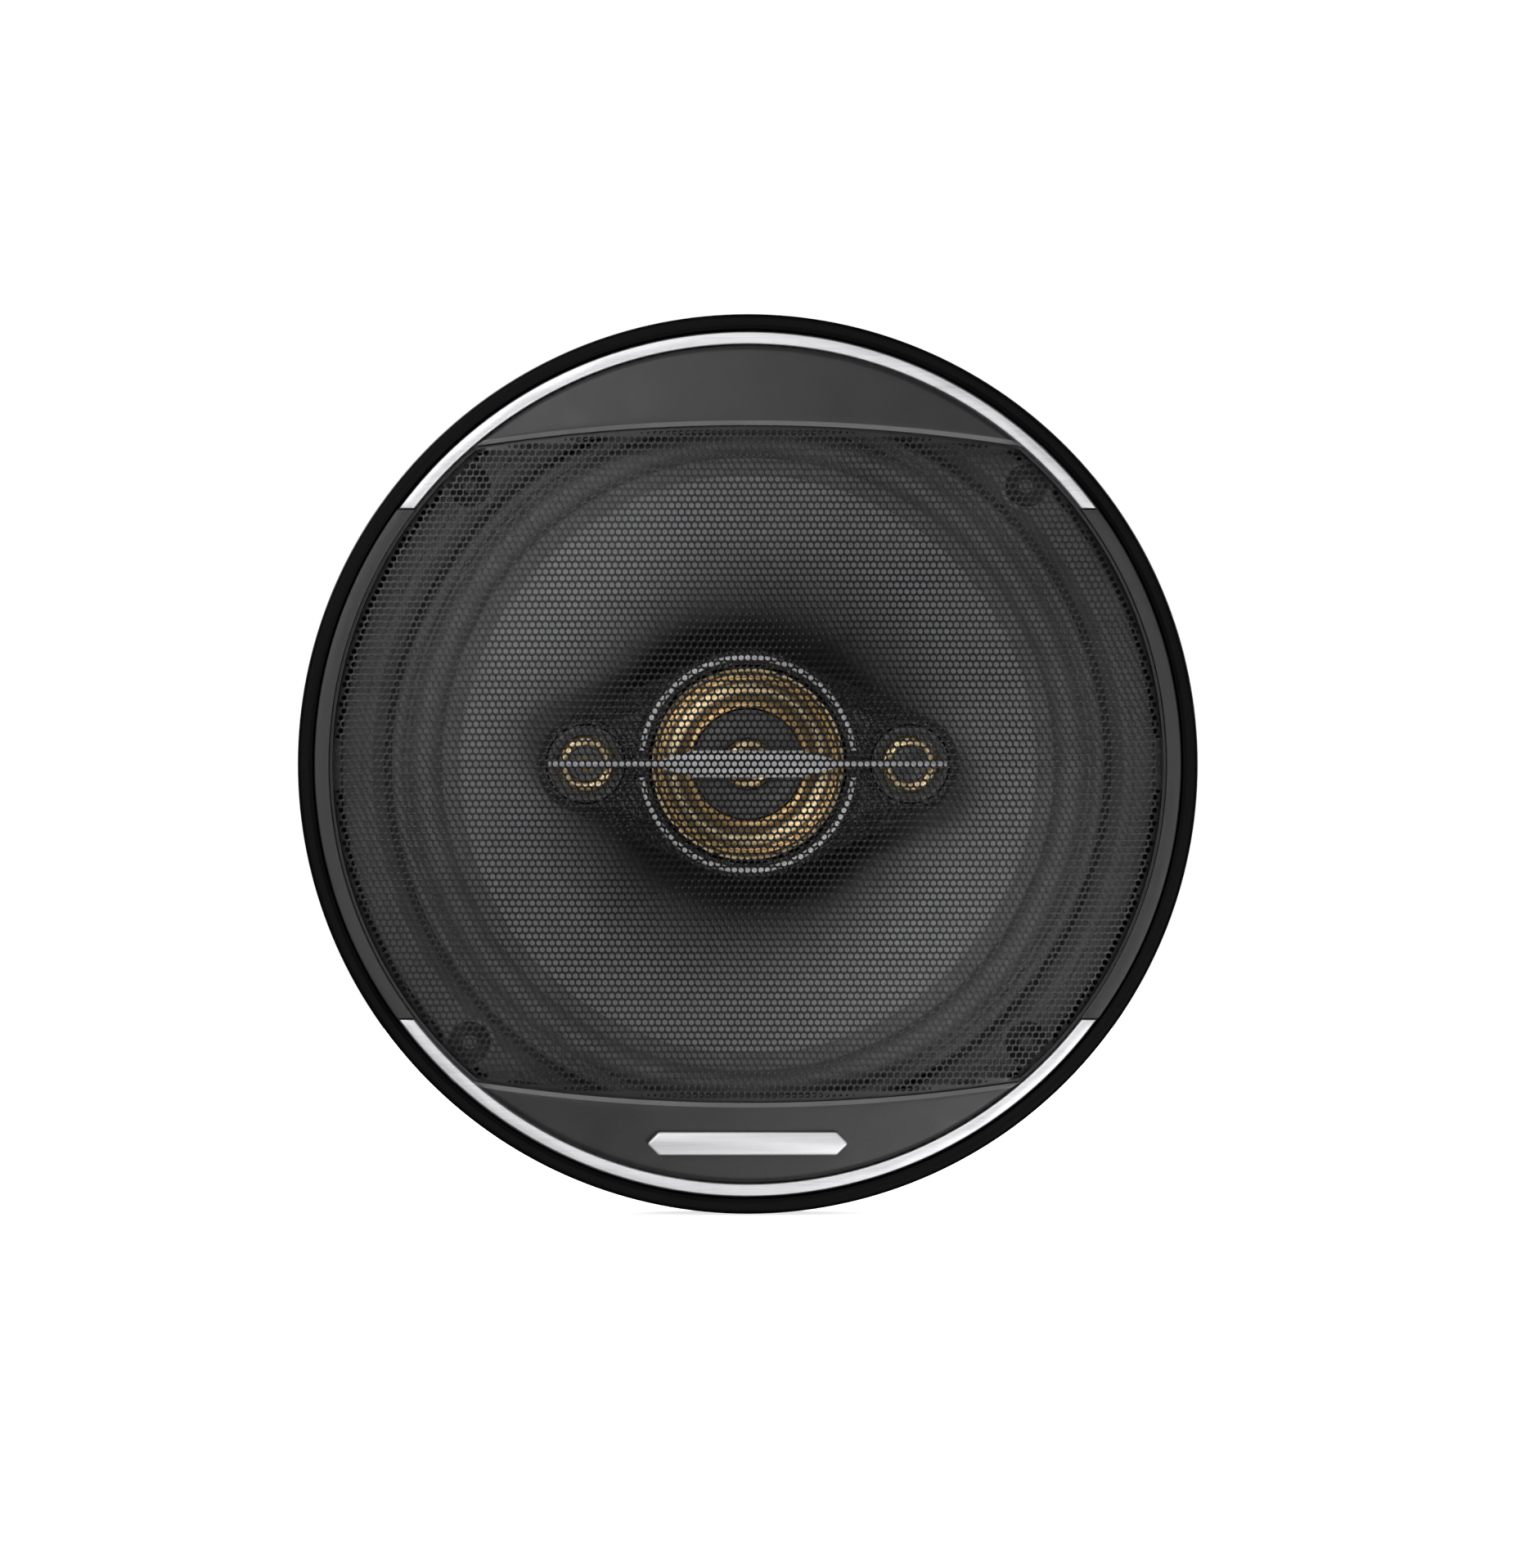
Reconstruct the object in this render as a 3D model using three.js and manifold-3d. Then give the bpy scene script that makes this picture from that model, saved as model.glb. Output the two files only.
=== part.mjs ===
import * as THREE from 'three';
import { mergeVertices } from 'three/addons/utils/BufferGeometryUtils.js';
import Module from 'manifold-3d';

// A four-way coaxial car loudspeaker with its clip-on grille, in millimetres.
// It is drawn facing +z, with z = 0 on the rear face of the mounting flange, and the last lines
// stand it upright so that it faces -Y, as it does in a car door.

const wasm = await Module();
wasm.setup();

// Driving dimensions of the whole speaker
const OUTER_R = 85;
const MOUNT_DEPTH = 43;
const GRILLE_HEIGHT = 17.6;
const SHEET = 1.2;
const GAP = 0.3;

// Grille: outer ring, bezel ring, silver strips, panels and perforated sheet
const OUTER_RING_INNER_R = 82.2;
const RING_FRONT_Z = 14.8;
const RING_REAR_Z = 0.4;
const RING_FILLET = 2;
const RING_INNER_DROP = 0.5;
const BEZEL_OUTER_R = 81.9;
const BEZEL_INNER_R = 79.4;
const BEZEL_FRONT_Z = 14.1;
const BEZEL_REAR_Z = 6;
const STRIP_OUTER_R = 81.6;
const STRIP_INNER_R = 79.4;
const STRIP_FLOOR_Z = 12.6;
const STRIP_FRONT_Z = 14.4;
const STRIP_END_Y = 48.3;
const PANEL_EDGE_Y = 63.9;
const PANEL_EDGE_R = 343;
const PANEL_EDGE_CENTRE_Y = PANEL_EDGE_R - PANEL_EDGE_Y;
const PANEL_INNER_Z = 16.7;
const PANEL_THICKNESS = 1.8;
const PANEL_OUTER_DROP = 0.8;
const PANEL_RUN_IN = 6;
const PANEL_OVERLAP = 1;
const PERFORATED_R = 78.3;
const PERFORATED_SHOULDER_R = 77;
const PERFORATED_SHOULDER_Z = 14.4;
const PERFORATED_THICKNESS = 0.8;
const PERFORATED_EDGE_GAP = 0.6;
const PERFORATED_ROLL = 0.8;
const PERFORATED_REAR_Z = 12.4;
const BADGE_LENGTH = 38;
const BADGE_HEIGHT = 4.4;
const BADGE_Y = -71.6;
const BADGE_THICKNESS = 0.9;
const BADGE_STANDOFF = 0.4;
const CLIP_WIDTH = 12;
const CLIP_REAR_Z = 1.8;
const CLIP_INNER_INSET = 0.5;
const CLIP_OUTER_INSET = 0.4;

// Basket, flange and the ring that the grille clips onto
const FLANGE_R = 80;
const CUTOUT_R = 63.2;
const SCREW_PITCH_R = 75;
const SCREW_HOLE_R = 2.5;
const SCREW_POCKET_R = 4;
const SPIDER_SEAT_Z = -16;
const SPIDER_SEAT_R = 46;
const SPIDER_SEAT_INNER_R = 36.2;
const BASKET_SHOULDER_Z = -3.9;
const BASKET_FLOOR_Z = -21.2;
const BASKET_FLOOR_R = 20;
const BASKET_FLOOR_OUTER_R = 34.6;
const WINDOW_INNER_R = 48;
const WINDOW_OUTER_R = 60.4;
const WINDOW_HALF_ANGLE = THREE.MathUtils.degToRad(34);
const MOUNT_RING_INNER_R = 69.3;
const MOUNT_RING_OUTER_R = 77.4;
const MOUNT_RING_FRONT_Z = 5;
const EAR_WALL = 1;
const POCKET_FLOOR_Z = 3;
const KNOCK_OUT_THICKNESS = 0.5;
const PAD_WIDTH = 10;
const PAD_REAR_Z = 2.2;
const PAD_FRONT_Z = 4.4;
const GASKET_INNER_R = 65.6;
const GASKET_OUTER_R = 67.9;
const GASKET_REAR_Z = 2.6;
const GASKET_FRONT_Z = 3.7;

// Motor
const PLATE_R = 38;
const MAGNET_R = 40;
const MAGNET_BORE_R = 16;
const MAGNET_THICKNESS = 12;
const BACK_PLATE_THICKNESS = 4;
const TOP_PLATE_THICKNESS = 3.7;
const POLE_R = 12;
const FORMER_INNER_R = 12.5;
const FORMER_OUTER_R = 12.8;
const WINDING_OUTER_R = 13.3;
const TOP_PLATE_BORE_R = 13.8;
const WINDING_HEIGHT = 8;
const POST_R = 5.5;
const POST_SCREW_R = 1.8;
const POST_SCREW_HEAD_R = 5;
const POST_BORE_R = 2.2;
const HEAD_POCKET_DEPTH = 2.4;
const HEAD_POCKET_R = 6.5;
const POLE_RISE = 1.1;
const EDGE_CHAMFER = 0.8;

// Cone, surround and spider
const NECK_R = 13.1;
const NECK_Z = -13;
const RIM_R = 57.5;
const RIM_Z = 1.4;
const CONE_CURVE = 1.25;
const CONE_THICKNESS = 0.8;
const ROLL_CENTRE_R = 61.6;
const SURROUND_INNER_R = 55.3;
const SURROUND_OUTER_R = 67.7;
const SURROUND_REAR_Z = 1.6;
const SURROUND_THICKNESS = 0.7;
const ROLL_OVER_R = 3.2;
const ROLL_UNDER_R = 2.7;
const SPIDER_Z = -15.4;
const SPIDER_OUTER_R = 41.5;
const PLEATED_R = 35;
const PLEATS = 6;
const PLEAT_HEIGHT = 1.1;
const SPIDER_THICKNESS = 0.6;

// Centre module with the midrange and the two small tweeters
const TWEETER_X = 30.7;
const MODULE_R = 21.6;
const LOBE_R = 9.5;
const FLANK_INSET = 4.2;
const MODULE_REAR_Z = 4;
const MODULE_SHOULDER_Z = 5;
const MODULE_FLANK_TOP_Z = 11;
const MODULE_FRONT_Z = 12.4;
const TURRET_R = 8.6;
const TURRET_FRONT_Z = 11.6;
const MIDRANGE_BORE_R = 18.9;
const TWEETER_BORE_R = 7.6;
const COVER_FLOOR_Z = -4;
const COVER_WALL = 1.1;
const COVER_ARM = 1.3;
const BOWL_R = 20.6;
const BOWL_FLOOR_R = 16;
const MODULE_SCREW_X = 23.5;
const MODULE_SCREW_Y = 9;
const MODULE_SCREW_BORE_R = 1.3;
const MODULE_SCREW_TIP_Z = 7.2;
const TRIM_RING_INNER_R = 19.6;
const TRIM_RING_OUTER_R = 20.7;
const TRIM_RING_BREAK = 2.5;
const MIDRANGE_R = 18.2;
const DOME_R = 10.3;
const BAR_HALF_LENGTH = 37.7;
const BAR_HALF_HEIGHT = 0.6;
const LENS_HALF_LENGTH = 17.8;
const LENS_FLAT_HALF_LENGTH = 10.4;
const LENS_HALF_HEIGHT = 2.6;

// Terminal board and capacitors, on the spoke at the lower left
const TERMINAL_ANGLE = THREE.MathUtils.degToRad(225);
const SHELF_INNER_R = 50.6;
const SHELF_OUTER_R = 61.4;
const SHELF_REAR_Z = -13.6;
const SHELF_HALF_WIDTH = 9;
const BOARD_HALF_WIDTH = 9.5;
const BOARD_THICKNESS = 2;
const TAB_THICKNESS = 0.8;
const TAB_LENGTH = 8;
const TAB_PITCH = 10;
const LEAD_HOLE_R = 49.3;
const LEAD_HOLE_RADIUS = 1.3;
const LEAD_SIDE = 4;
const LEAD_RADIUS = 0.5;

// Facets around the large, middle-sized and small round pieces
const LARGE = 40;
const MIDDLE = 24;
const SMALL = 12;
const CONE_FACETS = 32;
const TURRET_FACETS = 16;

const VERTEX_MERGE = 1e-4;
const QUARTER_TURN = Math.PI / 2;
const FULL_TURN = 2 * Math.PI;

// ---------- materials ----------

function finish(color, roughness, metalness = 0) {
  return new THREE.MeshStandardMaterial({ color, roughness, metalness });
}

const blackPlastic = finish(0x151516, 0.45);
const greyPlastic = finish(0x3f4042, 0.5);
const darkMetalMesh = finish(0x262729, 0.45, 0.6);
const brushedSilver = finish(0xd6d7da, 0.32, 0.9);
const blackSteel = finish(0x1d1e20, 0.5, 0.4);
const zincSteel = finish(0xa9adb2, 0.38, 0.85);
const ferrite = finish(0x2b2b2e, 0.75);
const blackRubber = finish(0x1a1a1b, 0.7);
const coneFilm = finish(0x4a4b4d, 0.5);
const goldFilm = finish(0xb38a4a, 0.28, 0.85);
const greyDome = finish(0x6c6d70, 0.4, 0.3);
const spiderCloth = finish(0xb8923f, 0.9);
const copper = finish(0xa8622f, 0.4, 0.8);
const aluminiumFoil = finish(0xb9bbbd, 0.4, 0.8);
const boardLaminate = finish(0x6a4a2c, 0.7);
const tinPlate = finish(0xc4c7ca, 0.35, 0.9);
const capacitorSleeve = finish(0x22304d, 0.45);
const neodymium = finish(0x9b9da1, 0.3, 0.9);

// ---------- helpers ----------

// Turns a closed list of [radius, z] points about the z axis. The points run counter-clockwise.
function turned(profile, segments = LARGE) {
  const points = profile.map(([radius, z]) => new THREE.Vector2(radius, z));
  const closes = profile[0][0] > 0;
  if (closes) {
    points.push(points[0].clone());
  }
  const geometry = new THREE.LatheGeometry(points, segments);
  geometry.rotateX(QUARTER_TURN);
  return geometry;
}

// A plain tube between two radii and two heights
function tube(innerR, outerR, rearZ, frontZ, segments = MIDDLE) {
  const profile = [[innerR, rearZ], [outerR, rearZ], [outerR, frontZ], [innerR, frontZ]];
  return turned(profile, segments);
}

// A solid disc or rod on the axis
function disc(radius, rearZ, frontZ, segments = MIDDLE) {
  return turned([[0, rearZ], [radius, rearZ], [radius, frontZ], [0, frontZ]], segments);
}

// A flat shape given thickness from one height to another
function slab(shape, rearZ, frontZ, curveSegments = 12) {
  const depth = frontZ - rearZ;
  const geometry = new THREE.ExtrudeGeometry(shape, { depth, bevelEnabled: false, curveSegments });
  geometry.translate(0, 0, rearZ);
  return geometry;
}

// A block given by its lowest and highest corners
function block(low, high) {
  const size = high.map((value, axis) => value - low[axis]);
  const geometry = new THREE.BoxGeometry(...size);
  geometry.translate(...low.map((value, axis) => value + size[axis] / 2));
  return geometry;
}

// [radius, z] points on a circular arc of a profile
function arcPoints(centreR, centreZ, radius, startAngle, endAngle, steps) {
  const points = [];
  for (let step = 0; step <= steps; step += 1) {
    const angle = startAngle + (endAngle - startAngle) * step / steps;
    points.push([centreR + radius * Math.cos(angle), centreZ + radius * Math.sin(angle)]);
  }
  return points;
}

function sectorShape(innerR, outerR, startAngle, endAngle) {
  const shape = new THREE.Shape();
  shape.absarc(0, 0, outerR, startAngle, endAngle, false);
  shape.absarc(0, 0, innerR, endAngle, startAngle, true);
  shape.closePath();
  return shape;
}

function toSolid(geometry) {
  const bare = geometry.clone();
  bare.deleteAttribute('normal');
  bare.deleteAttribute('uv');
  const merged = mergeVertices(bare, VERTEX_MERGE);
  const corners = merged.index.array;
  const kept = [];
  for (let i = 0; i < corners.length; i += 3) {
    const [a, b, c] = corners.slice(i, i + 3);
    const hasArea = a !== b && b !== c && c !== a;
    if (hasArea) {
      kept.push(a, b, c);
    }
  }
  const vertProperties = merged.attributes.position.array;
  const triVerts = new Uint32Array(kept);
  return new wasm.Manifold(new wasm.Mesh({ numProp: 3, vertProperties, triVerts }));
}

function toGeometry(solid) {
  const { vertProperties, triVerts } = solid.getMesh();
  const geometry = new THREE.BufferGeometry();
  geometry.setAttribute('position', new THREE.BufferAttribute(vertProperties, 3));
  geometry.setIndex(new THREE.BufferAttribute(triVerts, 1));
  geometry.computeVertexNormals();
  return geometry;
}

function join(first, ...others) {
  const solid = others.reduce((sum, other) => sum.add(toSolid(other)), toSolid(first));
  return toGeometry(solid);
}

function cut(first, ...cutters) {
  const solid = cutters.reduce((rest, cutter) => rest.subtract(toSolid(cutter)), toSolid(first));
  return toGeometry(solid);
}

function common(first, second) {
  return toGeometry(toSolid(first).intersect(toSolid(second)));
}

const sides = [-1, 1];
const speaker = new THREE.Group();

function add(name, geometry, material, parent = speaker) {
  const mesh = new THREE.Mesh(geometry, material);
  mesh.name = name;
  parent.add(mesh);
  return mesh;
}

// ---------- grille ----------

const panelEdgeCrossing = (radius, edgeR) => {
  const y = (edgeR ** 2 - radius ** 2 - PANEL_EDGE_CENTRE_Y ** 2) / (2 * PANEL_EDGE_CENTRE_Y);
  return { onRing: Math.asin(y / radius), onEdge: Math.asin((y + PANEL_EDGE_CENTRE_Y) / edgeR) };
};

// The part of a disc beyond the gently bowed panel edge
function panelShape(radius) {
  const { onRing, onEdge } = panelEdgeCrossing(radius, PANEL_EDGE_R);
  const shape = new THREE.Shape();
  shape.absarc(0, 0, radius, onRing, Math.PI - onRing, false);
  shape.absarc(0, -PANEL_EDGE_CENTRE_Y, PANEL_EDGE_R, Math.PI - onEdge, onEdge, true);
  shape.closePath();
  return shape;
}

// The part of a disc between the two panel edges
function perforatedShape(radius) {
  const edgeR = PANEL_EDGE_R - PERFORATED_EDGE_GAP;
  const { onRing, onEdge } = panelEdgeCrossing(radius, edgeR);
  const shape = new THREE.Shape();
  shape.absarc(0, 0, radius, -onRing, onRing, false);
  shape.absarc(0, -PANEL_EDGE_CENTRE_Y, edgeR, onEdge, Math.PI - onEdge, false);
  shape.absarc(0, 0, radius, Math.PI - onRing, Math.PI + onRing, false);
  shape.absarc(0, PANEL_EDGE_CENTRE_Y, edgeR, Math.PI + onEdge, FULL_TURN - onEdge, false);
  shape.closePath();
  return shape;
}

function outerRing() {
  const filletR = OUTER_R - RING_FILLET;
  const edge = arcPoints(filletR, RING_FRONT_Z - RING_FILLET, RING_FILLET, 0, QUARTER_TURN, 3);
  return turned([
    [OUTER_RING_INNER_R, RING_REAR_Z],
    [OUTER_R, RING_REAR_Z],
    ...edge,
    [OUTER_RING_INNER_R, RING_FRONT_Z - RING_INNER_DROP],
  ]);
}

function bezelRing() {
  return tube(BEZEL_INNER_R, BEZEL_OUTER_R, BEZEL_REAR_Z, BEZEL_FRONT_Z, LARGE);
}

function bezelPanel() {
  const innerR = PANEL_EDGE_Y - PANEL_RUN_IN;
  const outerZ = BEZEL_FRONT_Z - PANEL_OUTER_DROP;
  const crown = turned([
    [innerR, PANEL_INNER_Z - PANEL_THICKNESS],
    [OUTER_R, outerZ - PANEL_THICKNESS],
    [OUTER_R, outerZ],
    [innerR, PANEL_INNER_Z],
  ]);
  const outline = slab(panelShape(BEZEL_INNER_R + PANEL_OVERLAP), 0, OUTER_R, 16);
  return common(crown, outline);
}

// Four tongues behind the bezel ring, which grip the mounting ring
function bezelClip(angle) {
  const low = [BEZEL_INNER_R + CLIP_INNER_INSET, -CLIP_WIDTH / 2, CLIP_REAR_Z];
  const high = [BEZEL_OUTER_R - CLIP_OUTER_INSET, CLIP_WIDTH / 2, BEZEL_REAR_Z + 1];
  return block(low, high).rotateZ(angle);
}

function stripShape(innerR, outerR, endY) {
  const outerEnd = Math.asin(endY / outerR);
  const innerEnd = Math.asin(endY / innerR);
  const shape = new THREE.Shape();
  shape.absarc(0, 0, outerR, outerEnd, Math.PI - outerEnd, false);
  shape.absarc(0, 0, innerR, Math.PI - innerEnd, innerEnd, true);
  shape.closePath();
  return shape;
}

function bezel() {
  const channelShape = stripShape(STRIP_INNER_R - GAP, OUTER_R, STRIP_END_Y - GAP);
  const channel = slab(channelShape, STRIP_FLOOR_Z, OUTER_R, 16);
  const clips = [0, 1, 2, 3].map((turn) => bezelClip(turn * QUARTER_TURN));
  const top = bezelPanel();
  const bottom = bezelPanel().rotateZ(Math.PI);
  const moulding = join(bezelRing(), top, bottom, ...clips);
  return cut(moulding, channel, channel.clone().rotateZ(Math.PI));
}

function silverStrip() {
  const shape = stripShape(STRIP_INNER_R, STRIP_OUTER_R, STRIP_END_Y);
  return slab(shape, STRIP_FLOOR_Z + GAP, STRIP_FRONT_Z, 16);
}

// The sheet is slightly domed, and its round edge rolls back over the last millimetre
function perforatedSheet() {
  const drop = GRILLE_HEIGHT - PERFORATED_SHOULDER_Z;
  const steps = 3;
  const front = [];
  for (let step = steps; step >= 0; step -= 1) {
    const radius = PERFORATED_SHOULDER_R * step / steps;
    front.push([radius, GRILLE_HEIGHT - drop * (step / steps) ** 2]);
  }
  const rear = front.map(([radius, z]) => [radius, z - PERFORATED_THICKNESS]).reverse();
  const beyondR = PERFORATED_R + 1;
  const rolled = [
    [PERFORATED_R - PERFORATED_THICKNESS, PERFORATED_REAR_Z],
    [beyondR, PERFORATED_REAR_Z],
    [beyondR, PERFORATED_SHOULDER_Z - PERFORATED_ROLL],
  ];
  const dome = turned([...rear, ...rolled, ...front]);
  return common(dome, slab(perforatedShape(PERFORATED_R), 0, OUTER_R, 10));
}

// A blank lozenge where a maker would put a name
function badge() {
  const halfLength = BADGE_LENGTH / 2;
  const halfHeight = BADGE_HEIGHT / 2;
  const shape = new THREE.Shape();
  shape.moveTo(halfLength, 0);
  shape.lineTo(halfLength - halfHeight, halfHeight);
  shape.lineTo(halfHeight - halfLength, halfHeight);
  shape.lineTo(-halfLength, 0);
  shape.lineTo(halfHeight - halfLength, -halfHeight);
  shape.lineTo(halfLength - halfHeight, -halfHeight);
  shape.closePath();
  const crownInnerR = PANEL_EDGE_Y - PANEL_RUN_IN;
  const crownDrop = PANEL_INNER_Z - BEZEL_FRONT_Z + PANEL_OUTER_DROP;
  const panelSlope = crownDrop / (OUTER_R - crownInnerR);
  const panelZ = PANEL_INNER_Z - panelSlope * (-BADGE_Y - crownInnerR);
  const rear = panelZ + BADGE_STANDOFF;
  return slab(shape, rear, rear + BADGE_THICKNESS).translate(0, BADGE_Y, 0);
}

add('outer_ring', outerRing(), blackPlastic);
add('bezel', bezel(), greyPlastic);
add('silver_strip_top', silverStrip(), brushedSilver);
add('silver_strip_bottom', silverStrip().rotateZ(Math.PI), brushedSilver);
add('perforated_sheet', perforatedSheet(), darkMetalMesh);
add('blank_badge', badge(), brushedSilver);

// ---------- basket and mounting ring ----------

const screwAngles = [45, 135, 225, 315].map(THREE.MathUtils.degToRad);

function onCircle(geometry, radius, angle) {
  return geometry.translate(radius, 0, 0).rotateZ(angle);
}

function basket() {
  const rearFloor = BASKET_FLOOR_Z - SHEET;
  const shoulderR = CUTOUT_R - 2.2;
  const pressing = turned([
    [BASKET_FLOOR_R, rearFloor],
    [BASKET_FLOOR_OUTER_R + 1, rearFloor],
    [SPIDER_SEAT_INNER_R + 1, SPIDER_SEAT_Z - SHEET],
    [SPIDER_SEAT_R + 0.6, SPIDER_SEAT_Z - SHEET],
    [shoulderR + SHEET, BASKET_SHOULDER_Z - 0.7],
    [CUTOUT_R, 0],
    [FLANGE_R, 0],
    [FLANGE_R, SHEET],
    [CUTOUT_R - SHEET - 0.1, SHEET],
    [shoulderR, BASKET_SHOULDER_Z],
    [SPIDER_SEAT_R, SPIDER_SEAT_Z],
    [SPIDER_SEAT_INNER_R, SPIDER_SEAT_Z],
    [BASKET_FLOOR_OUTER_R, BASKET_FLOOR_Z],
    [BASKET_FLOOR_R, BASKET_FLOOR_Z],
  ]);
  const windowShape = sectorShape(
    WINDOW_INNER_R, WINDOW_OUTER_R, -WINDOW_HALF_ANGLE, WINDOW_HALF_ANGLE);
  const windows = [0, 1, 2, 3].map((turn) => (
    slab(windowShape, rearFloor, -SHEET, 8).rotateZ(turn * QUARTER_TURN)));
  const screwHoles = screwAngles.map((angle) => (
    onCircle(disc(SCREW_HOLE_R, -1, SHEET + 1, SMALL), SCREW_PITCH_R, angle)));
  const leadHoles = sides.map((side) => (
    disc(LEAD_HOLE_RADIUS, rearFloor, -SHEET, SMALL)
      .translate(LEAD_HOLE_R, side * LEAD_SIDE, 0)
      .rotateZ(TERMINAL_ANGLE)));
  const shelf = block(
    [SHELF_INNER_R, -SHELF_HALF_WIDTH, SHELF_REAR_Z],
    [SHELF_OUTER_R, SHELF_HALF_WIDTH, SHELF_REAR_Z + SHEET],
  ).rotateZ(TERMINAL_ANGLE);
  return cut(join(pressing, shelf), ...windows, ...screwHoles, ...leadHoles);
}

// Carries the grille clips, with a pocket for each mounting screw. A thin knock-out closes
// each screw hole until the screw is driven through it.
function mountRing() {
  const rear = SHEET + GAP;
  const band = tube(MOUNT_RING_INNER_R, MOUNT_RING_OUTER_R, rear, MOUNT_RING_FRONT_Z, LARGE);
  const atScrews = (radius, rearZ, frontZ) => screwAngles.map((angle) => (
    onCircle(disc(radius, rearZ, frontZ, SMALL), SCREW_PITCH_R, angle)));
  const ears = atScrews(SCREW_POCKET_R + EAR_WALL, rear, MOUNT_RING_FRONT_Z);
  const pads = [0, 1, 2, 3].map((turn) => block(
    [MOUNT_RING_OUTER_R - 1, -PAD_WIDTH / 2, PAD_REAR_Z],
    [BEZEL_INNER_R - 0.2, PAD_WIDTH / 2, PAD_FRONT_Z],
  ).rotateZ(turn * QUARTER_TURN));
  const pockets = atScrews(SCREW_POCKET_R, POCKET_FLOOR_Z, RING_FRONT_Z);
  const holes = atScrews(SCREW_HOLE_R, rear + KNOCK_OUT_THICKNESS, RING_FRONT_Z);
  return cut(join(band, ...ears, ...pads), ...pockets, ...holes);
}

function gasketRing() {
  const chamfer = 0.5;
  return turned([
    [GASKET_INNER_R, GASKET_REAR_Z],
    [GASKET_OUTER_R, GASKET_REAR_Z],
    [GASKET_OUTER_R, GASKET_FRONT_Z - chamfer],
    [GASKET_OUTER_R - chamfer, GASKET_FRONT_Z],
    [GASKET_INNER_R + chamfer, GASKET_FRONT_Z],
    [GASKET_INNER_R, GASKET_FRONT_Z - chamfer],
  ]);
}

add('basket', basket(), blackSteel);
add('grille_mount_ring', mountRing(), blackPlastic);
add('gasket_ring', gasketRing(), blackPlastic);

// ---------- motor ----------

const plateRearZ = -MOUNT_DEPTH;
const plateFrontZ = plateRearZ + BACK_PLATE_THICKNESS;
const magnetRearZ = plateFrontZ + GAP;
const magnetFrontZ = magnetRearZ + MAGNET_THICKNESS;
const topPlateRearZ = magnetFrontZ + GAP;
const topPlateFrontZ = topPlateRearZ + TOP_PLATE_THICKNESS;
const poleFrontZ = topPlateFrontZ + POLE_RISE;
const windingMidZ = (topPlateRearZ + topPlateFrontZ) / 2;

function tYoke() {
  const headPocketZ = plateRearZ + HEAD_POCKET_DEPTH;
  const poleChamfer = 0.6;
  return turned([
    [POST_BORE_R, headPocketZ],
    [HEAD_POCKET_R, headPocketZ],
    [HEAD_POCKET_R, plateRearZ],
    [PLATE_R - EDGE_CHAMFER, plateRearZ],
    [PLATE_R, plateRearZ + EDGE_CHAMFER],
    [PLATE_R, plateFrontZ],
    [POLE_R, plateFrontZ],
    [POLE_R, poleFrontZ - poleChamfer],
    [POLE_R - poleChamfer, poleFrontZ],
    [POST_BORE_R, poleFrontZ],
  ], MIDDLE);
}

function postScrew() {
  const headRearZ = plateRearZ + 0.2;
  const headFrontZ = plateRearZ + HEAD_POCKET_DEPTH - GAP;
  const tipZ = COVER_FLOOR_Z + COVER_WALL;
  return turned([
    [0, headRearZ],
    [POST_SCREW_HEAD_R, headRearZ],
    [POST_SCREW_HEAD_R, headFrontZ],
    [POST_SCREW_R, headFrontZ],
    [POST_SCREW_R, tipZ],
    [0, tipZ],
  ], SMALL);
}

add('t_yoke', tYoke(), zincSteel);
add('magnet', tube(MAGNET_BORE_R, MAGNET_R, magnetRearZ, magnetFrontZ), ferrite);
add('top_plate', tube(TOP_PLATE_BORE_R, PLATE_R, topPlateRearZ, topPlateFrontZ), zincSteel);
add('centre_post',
  tube(POST_BORE_R, POST_R, poleFrontZ + GAP, COVER_FLOOR_Z - GAP, SMALL), zincSteel);
add('post_screw', postScrew(), zincSteel);

// ---------- terminals, capacitors and leads ----------

const terminalSide = new THREE.Group();
terminalSide.rotation.z = TERMINAL_ANGLE;
speaker.add(terminalSide);

const boardFrontZ = SHELF_REAR_Z - GAP;
const boardRearZ = boardFrontZ - BOARD_THICKNESS;
const tabR = (SHELF_INNER_R + SHELF_OUTER_R) / 2 + 1;

function solderTab(width, side) {
  const centre = side * TAB_PITCH / 2;
  const rear = boardRearZ - GAP - TAB_LENGTH;
  return block(
    [tabR - TAB_THICKNESS / 2, centre - width / 2, rear],
    [tabR + TAB_THICKNESS / 2, centre + width / 2, boardRearZ - GAP],
  );
}

function capacitor(radius, length, centreR) {
  const geometry = disc(radius, -length / 2, length / 2, SMALL);
  geometry.rotateX(QUARTER_TURN);
  geometry.translate(centreR, 0, SPIDER_SEAT_Z - SHEET - GAP - 0.1 - radius);
  return geometry;
}

// A lead leaves the board, passes the basket and loops to the back of the cone
function tinselLead(side) {
  const route = [
    [LEAD_HOLE_R, -15.6],
    [LEAD_HOLE_R, -12.4],
    [47.4, -8.6],
    [43.2, -6.8],
    [38.4, -6.6],
    [35.4, -6.2],
  ].map(([radius, z]) => new THREE.Vector3(radius, side * LEAD_SIDE, z));
  const section = new THREE.Shape();
  section.absarc(0, 0, LEAD_RADIUS, 0, FULL_TURN, false);
  const extrudePath = new THREE.CatmullRomCurve3(route);
  return new THREE.ExtrudeGeometry(section, { steps: 12, curveSegments: 4, extrudePath });
}

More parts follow.
